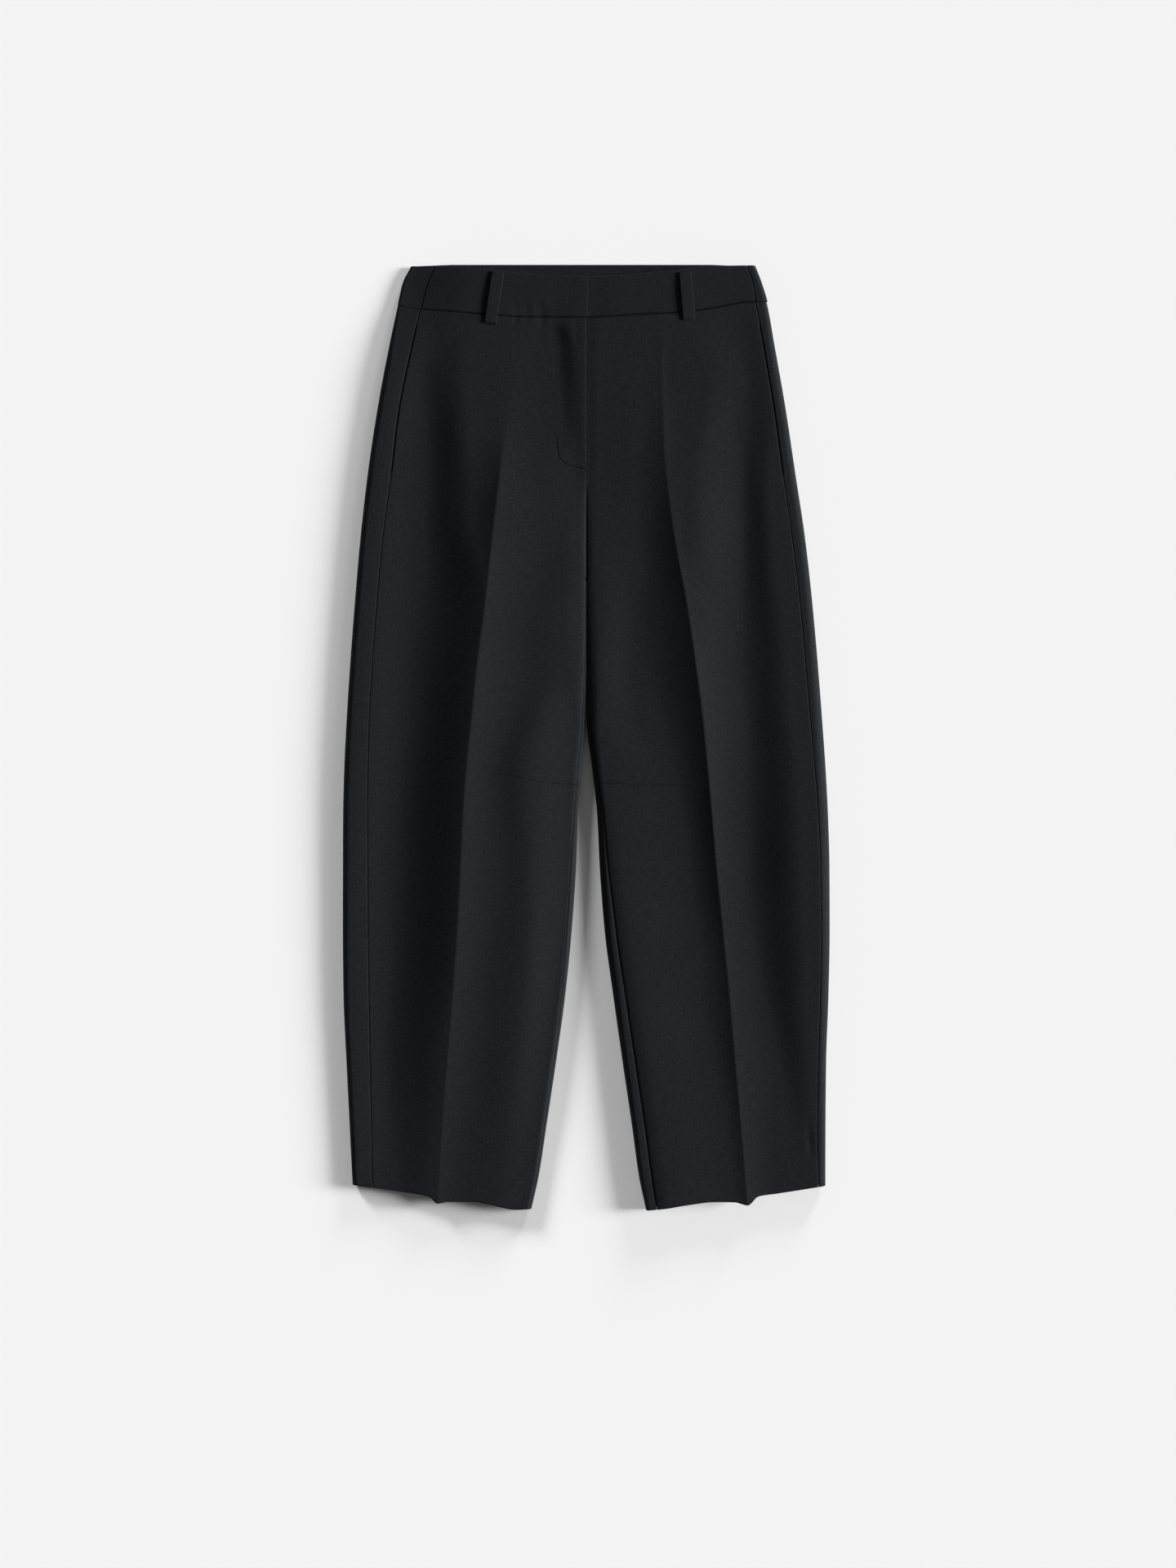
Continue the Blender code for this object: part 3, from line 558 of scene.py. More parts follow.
class Leg:
    """The outer surface of one half of the trousers, as functions of out and down."""

    def __init__(self, side, sections, levels, cusps, slopes, rolls, hem):
        self.side = side
        tables = ((Section, sections), (Level, levels), (Cusp, cusps), (Slope, slopes),
                  (InnerRoll, rolls))
        for fields, rows in tables:
            for column in fields._fields[1:]:
                setattr(self, column, table_curve(rows, "down", column))
        self.hem = table_curve(hem, "out", "down")
        self.band_top = table_curve(WAIST, "across", "top")
        self.band_seam = table_curve(WAIST, "across", "seam")
        self.folds = [fold for fold in FOLDS if fold.side == side]
        self.lines = [line for line in LINES if line.side == side]

    def waist_top(self, out):
        return self.band_top(self.side * out)

    def waist_seam(self, out):
        return self.band_seam(self.side * out)

    def side_seam(self, down):
        return self.outer(down) - self.side_inset(down)

    def front_edge(self, down):
        """The centre front above the crotch, and the inseam below it."""
        below = smooth((down - CROTCH_DOWN + CROTCH_EASE) / CROTCH_EASE)
        return (self.inner(down) + self.inner_inset(down)) * below

    def outer_radius(self, down):
        return (self.outer_roll(down) - lift(down)) / 2.0

    def outer_middle(self, down):
        return (self.outer_roll(down) + lift(down)) / 2.0

    def inner_middle(self, down):
        return self.inner_roll(down) - self.drop(down)

    def inward(self, out, middle, half):
        """How far a slope has run, from 0 on its outer side to 1 on its inner side."""
        return smooth((middle + half - out) / (2.0 * half))

    def fold_height(self, out, down):
        """Adds up the soft folds: a bell across each, faded in and out along it."""
        total = np.zeros(np.broadcast(out, down).shape)
        for fold in self.folds:
            along = np.clip((down - fold.start) / (fold.end - fold.start), 0.0, 1.0)
            path = fold.near * (1.0 - along) * (1.0 - 2.0 * along)
            path = path + 4.0 * fold.middle * along * (1.0 - along)
            path = path + fold.far * along * (2.0 * along - 1.0)
            reach = np.where(out < path, fold.inward, fold.outward)
            bell = 1.0 - smooth(np.abs(out - path) / reach)
            total = total + fold.height * bell * np.sin(np.pi * along)
        return total

    def body(self, out, down):
        """The smooth form: each slope carries the height on from the level before it, and the
        pressed crease adds a cusp, a falling parabola on each side of it."""
        outer_roll, trough, crest = self.outer_roll(down), self.trough(down), self.crest(down)
        shoulder, inner_roll = self.shoulder(down), self.inner_roll(down)
        outer_fall, inner_fall = self.outer_fall(down), self.inner_fall(down)
        outer_foot, inner_foot = crest - outer_fall, crest - inner_fall
        high = outer_roll
        for climb, middle, half in ((trough - outer_roll, self.dip, self.dip_half),
                                    (outer_foot - trough, self.rise, self.rise_half),
                                    (shoulder - inner_foot, self.fall, self.fall_half),
                                    (inner_roll - shoulder, self.ease, self.ease_half)):
            high = high + climb * self.inward(out, middle(down), half(down))
        soft = ROUND_CREASE * (1.0 - smooth((down - ROUND_START) / ROUND_RUN))
        from_crease = out - self.crease(down)
        away = np.sqrt(from_crease ** 2 + soft ** 2) - soft
        outer_side = outer_fall * np.clip(1.0 - away / self.outer_end(down), 0.0, 1.0) ** 2
        inner_side = inner_fall * np.clip(1.0 - away / self.inner_end(down), 0.0, 1.0) ** 2
        inner_side = inner_side + outer_fall - inner_fall
        return high + np.where(from_crease > 0.0, outer_side, inner_side)

    def pocket(self, down):
        """One along the pocket mouth, which is the open upper part of the side seam."""
        ends = smooth((down - POCKET_START) / POCKET_EASE)
        return ends * (1.0 - smooth((down - POCKET_END + POCKET_EASE) / POCKET_EASE))

    def from_inseam(self, out, down):
        """How far a place lies out from the inseam."""
        return out - self.inner(down) - self.inner_inset(down)

    def fine_lines(self, out, down):
        """Gives each fine line, the distance from it, and how strong it is there."""
        for line in self.lines:
            gap, share = line_share(line.points, out, down)
            yield line, gap, line.start + (line.end - line.start) * share

    def seams(self, out, down):
        """Depth of the grooves: side seam, deeper along the pocket mouth, inseam, fine lines, and
        the low strip beyond the left leg's inseam."""
        pocket = self.pocket(down)
        away = out - self.side_seam(down)
        deep = SEAM_DEPTH * (1.0 - pocket) * groove(away, SEAM_HALF)
        deep = deep + POCKET_DEPTH * pocket * groove(away, POCKET_HALF)
        below = smooth((down - CROTCH_DOWN) / INSEAM_EASE)
        inseam = self.from_inseam(out, down)
        half = np.minimum(SEAM_HALF, INSEAM_SHARE * self.inner_inset(down))
        deep = deep + SEAM_DEPTH * below * groove(inseam, half)
        if self.side > 0.0:
            ramp = np.where(inseam > 0.0, groove(inseam, STRIP_RAMP), 1.0)
            ramp = ramp + STRIP_LIP * groove(inseam, STRIP_LIP_HALF)
            deep = deep + STRIP_DROP * smooth((down - STRIP_START) / STRIP_EASE) * ramp
        for line, gap, strong in self.fine_lines(out, down):
            deep = deep + line.depth * strong * groove(gap, line.half_width)
        return deep

    def shade(self, out, down):
        """The painted shade that darkens the cloth in the grooves, from 0 to 1: deep in the pocket
        mouths, the seams and the lines.
        """
        pocket = self.pocket(down)
        from_side = out - self.side_seam(down)
        dark = SIDE_PAINTED_SHADE * (1.0 - pocket) * groove(from_side, SEAM_SHADE)
        dark = dark + pocket * groove(from_side, POCKET_SHADE)
        dark = np.maximum(dark, groove(down - self.waist_seam(out), WAIST_SHADE))
        below = smooth((down - CROTCH_DOWN - INSEAM_PAINTED_SHADE_START) / INSEAM_PAINTED_SHADE_EASE)
        dark = np.maximum(dark, INSEAM_PAINTED_SHADE * below * groove(self.from_inseam(out, down), SEAM_HALF))
        for line, gap, strong in self.fine_lines(out, down):
            dark = np.maximum(dark, LINE_PAINTED_SHADE * strong * groove(gap, SEAM_SHADE))
        return np.clip(dark, 0.0, 1.0)

    def top(self, out, down):
        """Height of the upper side: the smooth form, folds and grooves, rounded to each edge."""
        high = self.body(out, down) + self.fold_height(out, down) - self.seams(out, down)
        from_outer = np.maximum(self.outer(down) - out, 0.0)
        from_inner = np.maximum(out - self.inner(down), 0.0)
        high = rounded(high, from_outer, self.outer_radius(down), self.outer_middle(down))
        rolled = rounded(high, from_inner, self.reach(down), self.inner_middle(down))
        return high + (rolled - high) * smooth((down - FLY_DOWN) / ROLL_EASE)

    def place(self, out, down, high):
        """Turns out, down and high into points in metres."""
        out, down, high = np.broadcast_arrays(out, down, high)
        return np.stack([self.side * out, LENGTH / 2.0 - down, high], axis=-1) * MM


COUNT_STEPS = 4001


def stations(start, end, spacing, zones=()):
    """Places from start to end, spacing apart, and closer inside each zone (low, high, closer):
    equal steps of the summed count, where the count grows by one for each spacing."""
    fine = np.linspace(start, end, COUNT_STEPS)
    gap = np.full(fine.shape, float(spacing))
    for low, high, closer in zones:
        gap = np.where((fine >= low) & (fine <= high), np.minimum(gap, closer), gap)
    count = np.concatenate([[0.0], np.cumsum(np.diff(fine) / gap[:-1])])
    return np.interp(np.linspace(0.0, count[-1], int(np.ceil(count[-1])) + 1), count, fine)


def settled(down, start, end):
    """Moves the rows near the ends so that the first lies on the seam and the last on the hem."""
    near_start = 1.0 - smooth((down - WAIST_DOWN) / EDGE_REACH)
    near_end = smooth((down - (HEM_DOWN - EDGE_REACH)) / EDGE_REACH)
    return down + (start - WAIST_DOWN) * near_start + (end - HEM_DOWN) * near_end


def front_columns(leg, down, inner_share, outer_share):
    """Places across a front, from its inner edge over the crease to the side seam."""
    inner = leg.front_edge(down) + SEAM_GAP / 2.0
    seam = leg.side_seam(down) - SEAM_GAP / 2.0
    crease = leg.crease(down)
    share = np.concatenate([inner_share, outer_share[1:]])
    is_inner = np.arange(len(share)) < len(inner_share)
    return np.where(is_inner, inner + (crease - inner) * share, crease + (seam - crease) * share)


# Places round a rolled edge: shares of a seam's inset, turns of the quarter below the edge, and
# shares of the run along the table
OVER_SHARES = 1.0 - np.sin(QUARTER * stations(0.0, 1.0, 0.05, ((0.0, 0.12, 0.015),)))
INNER_SHARES = 1.0 - np.cos(QUARTER * np.linspace(0.0, 1.0, 16)[1:])
ARC_TURNS = QUARTER * np.linspace(0.0, 1.0, 9)[1:]
FLOOR_SHARES = np.linspace(0.0, 1.0, 14)

# Spacings of the grids, and zones (low, high, closer) where they are closer: rows in millimetres,
# columns as shares of their run. The fronts' rows crowd at the waist seam, at the foot of the fly,
# at the lines across the legs and at the hem. Their inner columns crowd towards the inner edge.
FRONT_ROWS, BACK_ROWS, BAND_ROWS = 3.4, 3.8, 2.6
FRONT_ZONES = ((44.0, 66.0, 1.2), (185.0, 220.0, 1.0), (520.0, 548.0, 0.8), (925.0, 975.0, 1.8))
BACK_ZONES = ((44.0, 60.0, 1.6), (325.0, 345.0, 1.5))
BAND_ZONES = ((0.0, 4.0, 1.2), (40.0, 44.0, 1.0))
INNER_COLUMNS, OUTER_COLUMNS, BAND_COLUMNS = 0.031, 0.033, 0.022
OUTER_ZONES = ((0.0, 0.05, 0.012), (0.955, 1.0, 0.006))
EDGE_COLUMNS, CREASE_COLUMNS = (0.0, 0.012, 0.005), (0.955, 1.0, 0.01)
NEAR_COLUMNS, NEAR_RIGHT, NEAR_LEFT = 0.0105, 0.36, 0.24
BAND_SIDE_ZONES = ((0.94, 1.0, 0.006),)
LOOP_ALONG, LOOP_ALONG_ZONES = 0.025, ((0.0, 0.06, 0.01), (0.9, 1.0, 0.01))
LOOP_ACROSS, LOOP_ACROSS_ZONES = 0.06, ((-0.5, -0.4, 0.025), (0.4, 0.5, 0.025))
# The waistband fronts' own columns at the centre front: the left one runs on under the right one
UNDER_COLUMNS = np.array([-LAP_UNDER, -20.0, -10.0, -4.0, 0.0, LAP_OVER, 3.0, 5.0, 8.0, 11.0])
OVER_COLUMNS = np.array([-LAP_OVER, -LAP_OVER + 0.4, -LAP_OVER + 1.0, 0.6])


def line_around(leg, line, down, along_table):
    """Reads an edge line for each column round a back: over the outer edge it is the front's."""
    over = line(leg.outer(down) - leg.side_inset(down) * OVER_SHARES)
    return np.concatenate([over, np.full(len(ARC_TURNS), over[-1]), along_table])


def outer_back(leg, down, end):
    """Out and high from the side seam over the outer edge, under it and along the table to end."""
    first_under = len(OVER_SHARES)
    over, under, floor = np.split(down, [first_under, first_under + len(ARC_TURNS)], axis=1)
    inset = leg.side_inset(over) - SEAM_GAP / 2.0
    over_out = leg.outer(over) - inset * OVER_SHARES
    under_out = leg.outer(under) - leg.outer_radius(under) * (1.0 - np.cos(ARC_TURNS))
    middle = leg.outer_middle(under)
    under_high = middle - (middle - lift(under)) * np.sin(ARC_TURNS)
    begin = leg.outer(floor) - leg.outer_radius(floor) - FLOOR_EASE
    floor_out = begin + (end - begin) * FLOOR_SHARES
    out = np.concatenate([over_out, under_out, floor_out], axis=1)
    high = np.concatenate([leg.top(over_out, over), under_high, lift(floor)], axis=1)
    return out, high


def inner_back(leg, down):
    """Out and high from the table up the inner roll and over to the inseam."""
    under, over = np.split(down, [len(ARC_TURNS)], axis=1)
    under_out = leg.inner(under) + leg.reach(under) * (1.0 - np.sin(ARC_TURNS))
    middle = leg.inner_middle(under)
    inset = leg.inner_inset(over) - SEAM_GAP / 2.0
    over_out = leg.inner(over) + inset * INNER_SHARES
    out = np.concatenate([under_out, over_out], axis=1)
    high = np.concatenate([middle - middle * np.cos(ARC_TURNS), leg.top(over_out, over)], axis=1)
    return out, high


def grid_mesh(name, points, shade=None, keep=None, turned=False, zero_column=0):
    """Makes a mesh from a grid of points, with a map for the weave in metres: the run of each row from
    one column, and the drop. keep says which of its cells are cloth, and shade how much painted shade
    darkens the cloth at each point, where less than nought paints a highlight."""
    rows, columns = points.shape[:2]
    index = np.arange(rows * columns).reshape(rows, columns)
    cells = np.stack([index[:-1, :-1], index[:-1, 1:], index[1:, 1:], index[1:, :-1]], axis=-1)
    cells = cells.reshape(-1, 4) if keep is None else cells[keep]
    if turned:
        cells = cells[:, ::-1]
    used, cells = np.unique(cells, return_inverse=True)
    cells = cells.reshape(-1, 4)
    run = np.linalg.norm(np.diff(points, axis=1), axis=-1)
    run = np.concatenate([np.zeros((rows, 1)), np.cumsum(run, axis=1)], axis=1)
    run = run - run[:, zero_column:zero_column + 1]
    weave = np.stack([run, points[..., 1]], axis=-1).reshape(-1, 2)[used]
    mesh = bpy.data.meshes.new(name)
    mesh.from_pydata(points.reshape(-1, 3)[used].tolist(), [], cells.tolist())
    mesh.uv_layers.new(name="weave").uv.foreach_set("vector", weave[cells.ravel()].ravel())
    if shade is not None:
        # The seam attribute holds the painted shade, and a painted highlight where it is below nought
        layer = mesh.attributes.new("seam", "FLOAT", "POINT")
        layer.data.foreach_set("value", shade.ravel()[used])
    mesh.shade_smooth()
    return mesh


def cloth_object(name, mesh, material, thickness, bevel=0.0):
    """Makes the piece: the grid is its outer side, and Solidify gives the wall inwards. bevel is
    the rounding of its edges in millimetres."""
    mesh.materials.append(material)
    piece = bpy.data.objects.new(name, mesh)
    bpy.context.scene.collection.objects.link(piece)
    wall = piece.modifiers.new("cloth", "SOLIDIFY")
    wall.thickness = thickness
    wall.offset = -1.0
    wall.use_even_offset = True
    if bevel > 0.0:
        soft = piece.modifiers.new("soft edge", "BEVEL")
        soft.width = bevel * MM
        soft.segments = 2
        soft.limit_method = "ANGLE"
        soft.angle_limit = math.radians(60.0)
    return piece


def lay(piece, node):
    """Ties a cloth piece to the frame: it rides on the body and replaces its node."""
    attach(piece, BODY)
    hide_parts(node)


def new_group(name, inputs, outputs):
    """Makes an empty shader group with its sockets: (name, type, default) in, (name, type) out."""
    group = bpy.data.node_groups.new(name, "ShaderNodeTree")
    for label, kind, default in inputs:
        socket = group.interface.new_socket(label, in_out="INPUT", socket_type=kind)
        if default is not None:
            socket.default_value = default
    for label, kind in outputs:
        group.interface.new_socket(label, in_out="OUTPUT", socket_type=kind)
    return group, group.nodes.new("NodeGroupInput"), group.nodes.new("NodeGroupOutput")


def math_node(tree, operation, a, b=None, c=None):
    """Adds a Math node; a, b and c are numbers or sockets."""
    node = tree.nodes.new("ShaderNodeMath")
    node.operation = operation
    for socket, value in zip(node.inputs, (a, b, c)):
        if value is None:
            continue
        if isinstance(value, (int, float)):
            socket.default_value = value
        else:
            tree.links.new(value, socket)
    return node.outputs[0]


def noise_node(tree, vector, size_u, size_v):
    """Adds a noise whose grains are size_u by size_v metres on the weave map."""
    scaled = tree.nodes.new("ShaderNodeVectorMath")
    scaled.operation = "MULTIPLY"
    tree.links.new(vector, scaled.inputs[0])
    scaled.inputs[1].default_value = (1.0 / size_u, 1.0 / size_v, 1.0)
    noise = tree.nodes.new("ShaderNodeTexNoise")
    noise.noise_dimensions = "2D"
    noise.inputs["Scale"].default_value = 1.0
    noise.inputs["Detail"].default_value = 1.0
    tree.links.new(scaled.outputs[0], noise.inputs["Vector"])
    return noise.outputs["Fac"]


def weave_group():
    """Plain weave of fine yarns: a product of two sines for the over and under, and slubs that run along
    warp and weft. Gives a height in metres and a shade about 1, which the painted shade of the grooves
    darkens and the painted highlight of the band's edge lightens."""
    found = bpy.data.node_groups.get("plain weave")
    if found:
        return found
    group, given, result = new_group(
        "plain weave",
        [("Vector", "NodeSocketVector", None), ("Yarn", "NodeSocketFloat", YARN),
         ("Slub", "NodeSocketFloat", 0.2), ("Seam", "NodeSocketFloat", 0.0)],
        [("Height", "NodeSocketFloat"), ("Shade", "NodeSocketFloat")])
    split = group.nodes.new("ShaderNodeSeparateXYZ")
    group.links.new(given.outputs["Vector"], split.inputs[0])
    waves = []
    for axis in (0, 1):
        turns = math_node(group, "DIVIDE", split.outputs[axis], given.outputs["Yarn"])
        waves.append(math_node(group, "SINE", math_node(group, "MULTIPLY", turns, math.pi)))
    crossing = math_node(group, "MULTIPLY", waves[0], waves[1])
    across = noise_node(group, given.outputs["Vector"], SLUB_WIDE, SLUB_LONG)
    along = noise_node(group, given.outputs["Vector"], SLUB_LONG, SLUB_WIDE)
    fuzz = noise_node(group, given.outputs["Vector"], FUZZ_SIZE, FUZZ_SIZE)
    slubs = math_node(group, "ADD", across, along)
    slubs = math_node(group, "ADD", slubs, fuzz)
    slubs = math_node(group, "MULTIPLY_ADD", slubs, 2.0 / 3.0, -1.0)     # from 0..3 to -1..1
    shade = math_node(group, "MULTIPLY", slubs, given.outputs["Slub"])
    shade = math_node(group, "ADD", shade, 1.0)
    # Painted shade in the grooves darkens the colour; below nought it paints a highlight
    dark = math_node(group, "MULTIPLY_ADD", given.outputs["Seam"], -PAINTED_SHADE_STRENGTH, 1.0)
    shade = math_node(group, "MULTIPLY", shade, dark)
    high = math_node(group, "MULTIPLY", crossing, YARN_RISE)
    rough = math_node(group, "MULTIPLY", slubs, SLUB_RISE)
    group.links.new(math_node(group, "ADD", high, rough), result.inputs["Height"])
    group.links.new(shade, result.inputs["Shade"])
    return group


def suiting_material(name, colour, slub):
    """A near-black woven cloth: the weave group shades and raises it, slub says how strongly, and the
    seam attribute paints shade into the grooves and a highlight on the band's top edge.
    """
    material = bpy.data.materials.new(name)
    material.use_nodes = True
    tree = material.node_tree
    shader = tree.nodes["Principled BSDF"]
    where = tree.nodes.new("ShaderNodeUVMap")
    where.uv_map = "weave"
    weave = tree.nodes.new("ShaderNodeGroup")
    weave.node_tree = weave_group()
    weave.inputs["Yarn"].default_value = YARN
    weave.inputs["Slub"].default_value = slub
    tree.links.new(where.outputs["UV"], weave.inputs["Vector"])
    # The seam attribute carries the painted shade of the grooves and the painted highlight of the band's
    # top edge
    seam = tree.nodes.new("ShaderNodeAttribute")
    seam.attribute_name = "seam"
    tree.links.new(seam.outputs["Fac"], weave.inputs["Seam"])
    tint = tree.nodes.new("ShaderNodeVectorMath")
    tint.operation = "SCALE"
    tint.inputs[0].default_value = colour[:3]
    tree.links.new(weave.outputs["Shade"], tint.inputs["Scale"])
    tree.links.new(tint.outputs[0], shader.inputs["Base Color"])
    bump = tree.nodes.new("ShaderNodeBump")
    bump.inputs["Distance"].default_value = 1.0
    bump.inputs["Strength"].default_value = 1.0
    tree.links.new(weave.outputs["Height"], bump.inputs["Height"])
    tree.links.new(bump.outputs["Normal"], shader.inputs["Normal"])
    shader.inputs["Roughness"].default_value = ROUGHNESS
    shader.inputs["Specular IOR Level"].default_value = SPECULAR
    shader.inputs["Sheen Weight"].default_value = SHEEN
    shader.inputs["Sheen Roughness"].default_value = SHEEN_ROUGHNESS
    return material


class TrouserSizes(bpy.types.PropertyGroup):
    """Thicknesses of the cloth and the width of the loops"""
    cloth: bpy.props.FloatProperty(
        name="Panel cloth", description="Thickness of the leg panels", default=1.2 * MM, unit="LENGTH")
    band_cloth: bpy.props.FloatProperty(
        name="Waistband", description="Thickness of the waistband with its interfacing",
        default=1.7 * MM, unit="LENGTH")
    loop_cloth: bpy.props.FloatProperty(
        name="Belt loop", description="Thickness of a folded belt loop", default=1.6 * MM, unit="LENGTH")
    loop_width: bpy.props.FloatProperty(
        name="Belt loop width", description="Width of a belt loop", default=12.7 * MM, unit="LENGTH")


class TrouserColours(bpy.types.PropertyGroup):
    """Colours of the cloth and of the floor"""
    suiting: bpy.props.FloatVectorProperty(
        name="Suiting", description="Colour of the leg panels", subtype="COLOR", size=3,
        default=(0.0133, 0.0144, 0.0168), min=0.0, max=1.0)
    waistband: bpy.props.FloatVectorProperty(
        name="Waistband", description="Colour of the waistband", subtype="COLOR", size=3,
        default=(0.0124, 0.0135, 0.0158), min=0.0, max=1.0)
    belt_loop: bpy.props.FloatVectorProperty(
        name="Belt loops", description="Colour of the belt loops", subtype="COLOR", size=3,
        default=(0.0133, 0.0144, 0.0168), min=0.0, max=1.0)
    floor: bpy.props.FloatVectorProperty(
        name="Floor", description="Colour of the pale floor", subtype="COLOR", size=3,
        default=(0.80, 0.80, 0.80), min=0.0, max=1.0)


class StudioSettings(bpy.types.PropertyGroup):
    """Strengths and angles of the lights"""
    key: bpy.props.FloatProperty(
        name="Key light", description="Light that falls on the floor from the key", default=0.52)
    key_height: bpy.props.FloatProperty(
        name="Key height", description="Angle of the key above the floor",
        default=math.radians(18.5), subtype="ANGLE")
    key_turn: bpy.props.FloatProperty(
        name="Key turn", description="Angle of the key from the right towards the top",
        default=math.radians(5.0), subtype="ANGLE")
    key_size: bpy.props.FloatProperty(
        name="Key size", description="How wide the key looks from the floor",
        default=math.radians(19.0), subtype="ANGLE")
    around: bpy.props.FloatProperty(
        name="Room light", description="Even light from all round", default=0.12)
    fill_right: bpy.props.FloatProperty(
        name="Fill, top right", description="Low fill on the floor from the top right", default=0.12)
    fill_left: bpy.props.FloatProperty(
        name="Fill, top left", description="Low fill on the floor from the top left", default=0.36)


def leg_pair():
    """Both halves of the trousers."""
    right = Leg(RIGHT, RIGHT_SECTIONS, RIGHT_LEVELS, RIGHT_CUSPS, RIGHT_SLOPES, RIGHT_ROLLS, RIGHT_HEM)
    left = Leg(LEFT, LEFT_SECTIONS, LEFT_LEVELS, LEFT_CUSPS, LEFT_SLOPES, LEFT_ROLLS, LEFT_HEM)
    return right, left


class FrontPanels(bpy.types.Operator):
    """Makes the two front leg panels, with creases, fly, small puckers and pocket mouths"""
    bl_idname = "trousers.front_panels"
    bl_label = "Front Panels"

    def execute(self, context):
        sizes, colours = context.scene.trouser_sizes, context.scene.trouser_colours
        cloth = suiting_material("suiting front", colours.suiting, PANEL_SLUB)
        right, left = leg_pair()
        for leg, name in ((right, "front_right"), (left, "front_left")):
            near = (0.0, NEAR_RIGHT if leg is right else NEAR_LEFT, NEAR_COLUMNS)
            inner_share = stations(0.0, 1.0, INNER_COLUMNS, (EDGE_COLUMNS, near, CREASE_COLUMNS))
            outer_share = stations(0.0, 1.0, OUTER_COLUMNS, OUTER_ZONES)
            rows = stations(WAIST_DOWN, HEM_DOWN, FRONT_ROWS, FRONT_ZONES)[:, None]
            out = front_columns(leg, rows, inner_share, outer_share)
            down = settled(rows, leg.waist_seam(out) + WAIST_GAP / 2.0, leg.hem(out))
            out = front_columns(leg, down, inner_share, outer_share)
            high = leg.top(out, down)
            high = high - WAIST_DEPTH * groove(down - leg.waist_seam(out), WAIST_HALF)
            high = high + self.lap(leg, out, down)
            high = high + HEM_TURN_RISE * smooth((down - leg.hem(out) + HEM_TURN) / HEM_TURN_EASE)
            points = leg.place(out, down, high)
            # Painted shade in the seams, the pocket mouths and the fine lines
            shade = leg.shade(out, down)
            mesh = grid_mesh(name + "_cloth", points, shade, None, leg.side > 0.0, len(inner_share) - 1)
            piece = cloth_object("trousers_" + name, mesh, cloth, sizes.cloth)
            lay(piece, name)
        return {"FINISHED"}

    def lap(self, leg, out, down):
        """The right front's edge stands over the left's, most of all along the fly."""
        along_fly = 1.0 - smooth((down - FLY_DOWN) / FLY_EASE)
        to_gap = 1.0 - smooth((down - LAP_END) / LAP_EASE)
        from_edge = out - leg.front_edge(down)
        near = 1.0 - smooth(from_edge / LAP_REACH)
        step = (FLY_STEP * along_fly + LAP_STEP) * near * to_gap
        if leg.side > 0.0:
            return -step
        stitch = EDGE_STITCH_DROP * groove(from_edge - EDGE_STITCH_IN, EDGE_STITCH_HALF) * along_fly
        return step - (LIP_DROP * groove(from_edge, LIP_HALF) + stitch) * to_gap


class BackPanels(bpy.types.Operator):
    """Makes the two back leg panels, which wrap up over the edges of the legs"""
    bl_idname = "trousers.back_panels"
    bl_label = "Back Panels"

    def execute(self, context):
        sizes, colours = context.scene.trouser_sizes, context.scene.trouser_colours
        cloth = suiting_material("suiting back", colours.suiting, PANEL_SLUB)
        right, left = leg_pair()
        for leg, name in ((right, "back_right"), (left, "back_left")):
            rows = stations(WAIST_DOWN, HEM_DOWN, BACK_ROWS, BACK_ZONES)[:, None]
            flat = np.full(len(FLOOR_SHARES), BACK_SEAM_DOWN)
            seam = line_around(leg, leg.waist_seam, WAIST_DOWN, flat)
            across = np.linspace(leg.outer(HEM_DOWN), leg.inner(HEM_DOWN), len(FLOOR_SHARES))
            hem_flat = leg.hem(across) - BACK_HEM_SHORT
            hem = line_around(leg, leg.hem, HEM_DOWN, hem_flat)
            down = settled(rows, seam + WAIST_GAP / 2.0, hem)
            floor_down = down[:, -len(FLOOR_SHARES):]
            centre_back = leg.side * CENTRE_BACK_SHIFT * (1.0 - smooth(floor_down / CROTCH_DOWN))
            closed = leg.inner(floor_down) + leg.reach(floor_down)
            end = np.where(rows < CROTCH_DOWN, centre_back + SEAM_GAP / 2.0, closed)
            out, high = outer_back(leg, down, end)
            first_inner = out.shape[1]
            strip = leg.inner(HEM_DOWN) + leg.inner_inset(HEM_DOWN) * INNER_SHARES
            under_hem = np.full(len(ARC_TURNS), leg.hem(leg.inner(HEM_DOWN)))
            inner_down = settled(rows, WAIST_DOWN, np.concatenate([under_hem, leg.hem(strip)]))
            inner_down = np.maximum(inner_down, CROTCH_DOWN)
            inner_out, inner_high = inner_back(leg, inner_down)
            out = np.concatenate([out, inner_out], axis=1)
            down = np.concatenate([down, inner_down], axis=1)
            high = np.concatenate([high, inner_high], axis=1)
            over = slice(0, len(OVER_SHARES))
            dip = WAIST_DEPTH * groove(down[:, over] - leg.waist_seam(out[:, over]), WAIST_HALF)
            high[:, over] -= dip
            keep = np.ones((out.shape[0] - 1, out.shape[1] - 1), bool)
            keep[: int((rows[:, 0] < CROTCH_DOWN).sum()), first_inner - 1:] = False
            points = leg.place(out, down, high)
            # Painted shade in the seams over the outer edge and on the inner strip, none elsewhere
            shade = np.zeros(out.shape)
            for part in (over, slice(first_inner + len(ARC_TURNS), None)):
                shade[:, part] = leg.shade(out[:, part], down[:, part])
            mesh = grid_mesh(name + "_cloth", points, shade, keep, leg.side > 0.0, 0)
            piece = cloth_object("trousers_" + name, mesh, cloth, sizes.cloth)
            lay(piece, name)
        return {"FINISHED"}


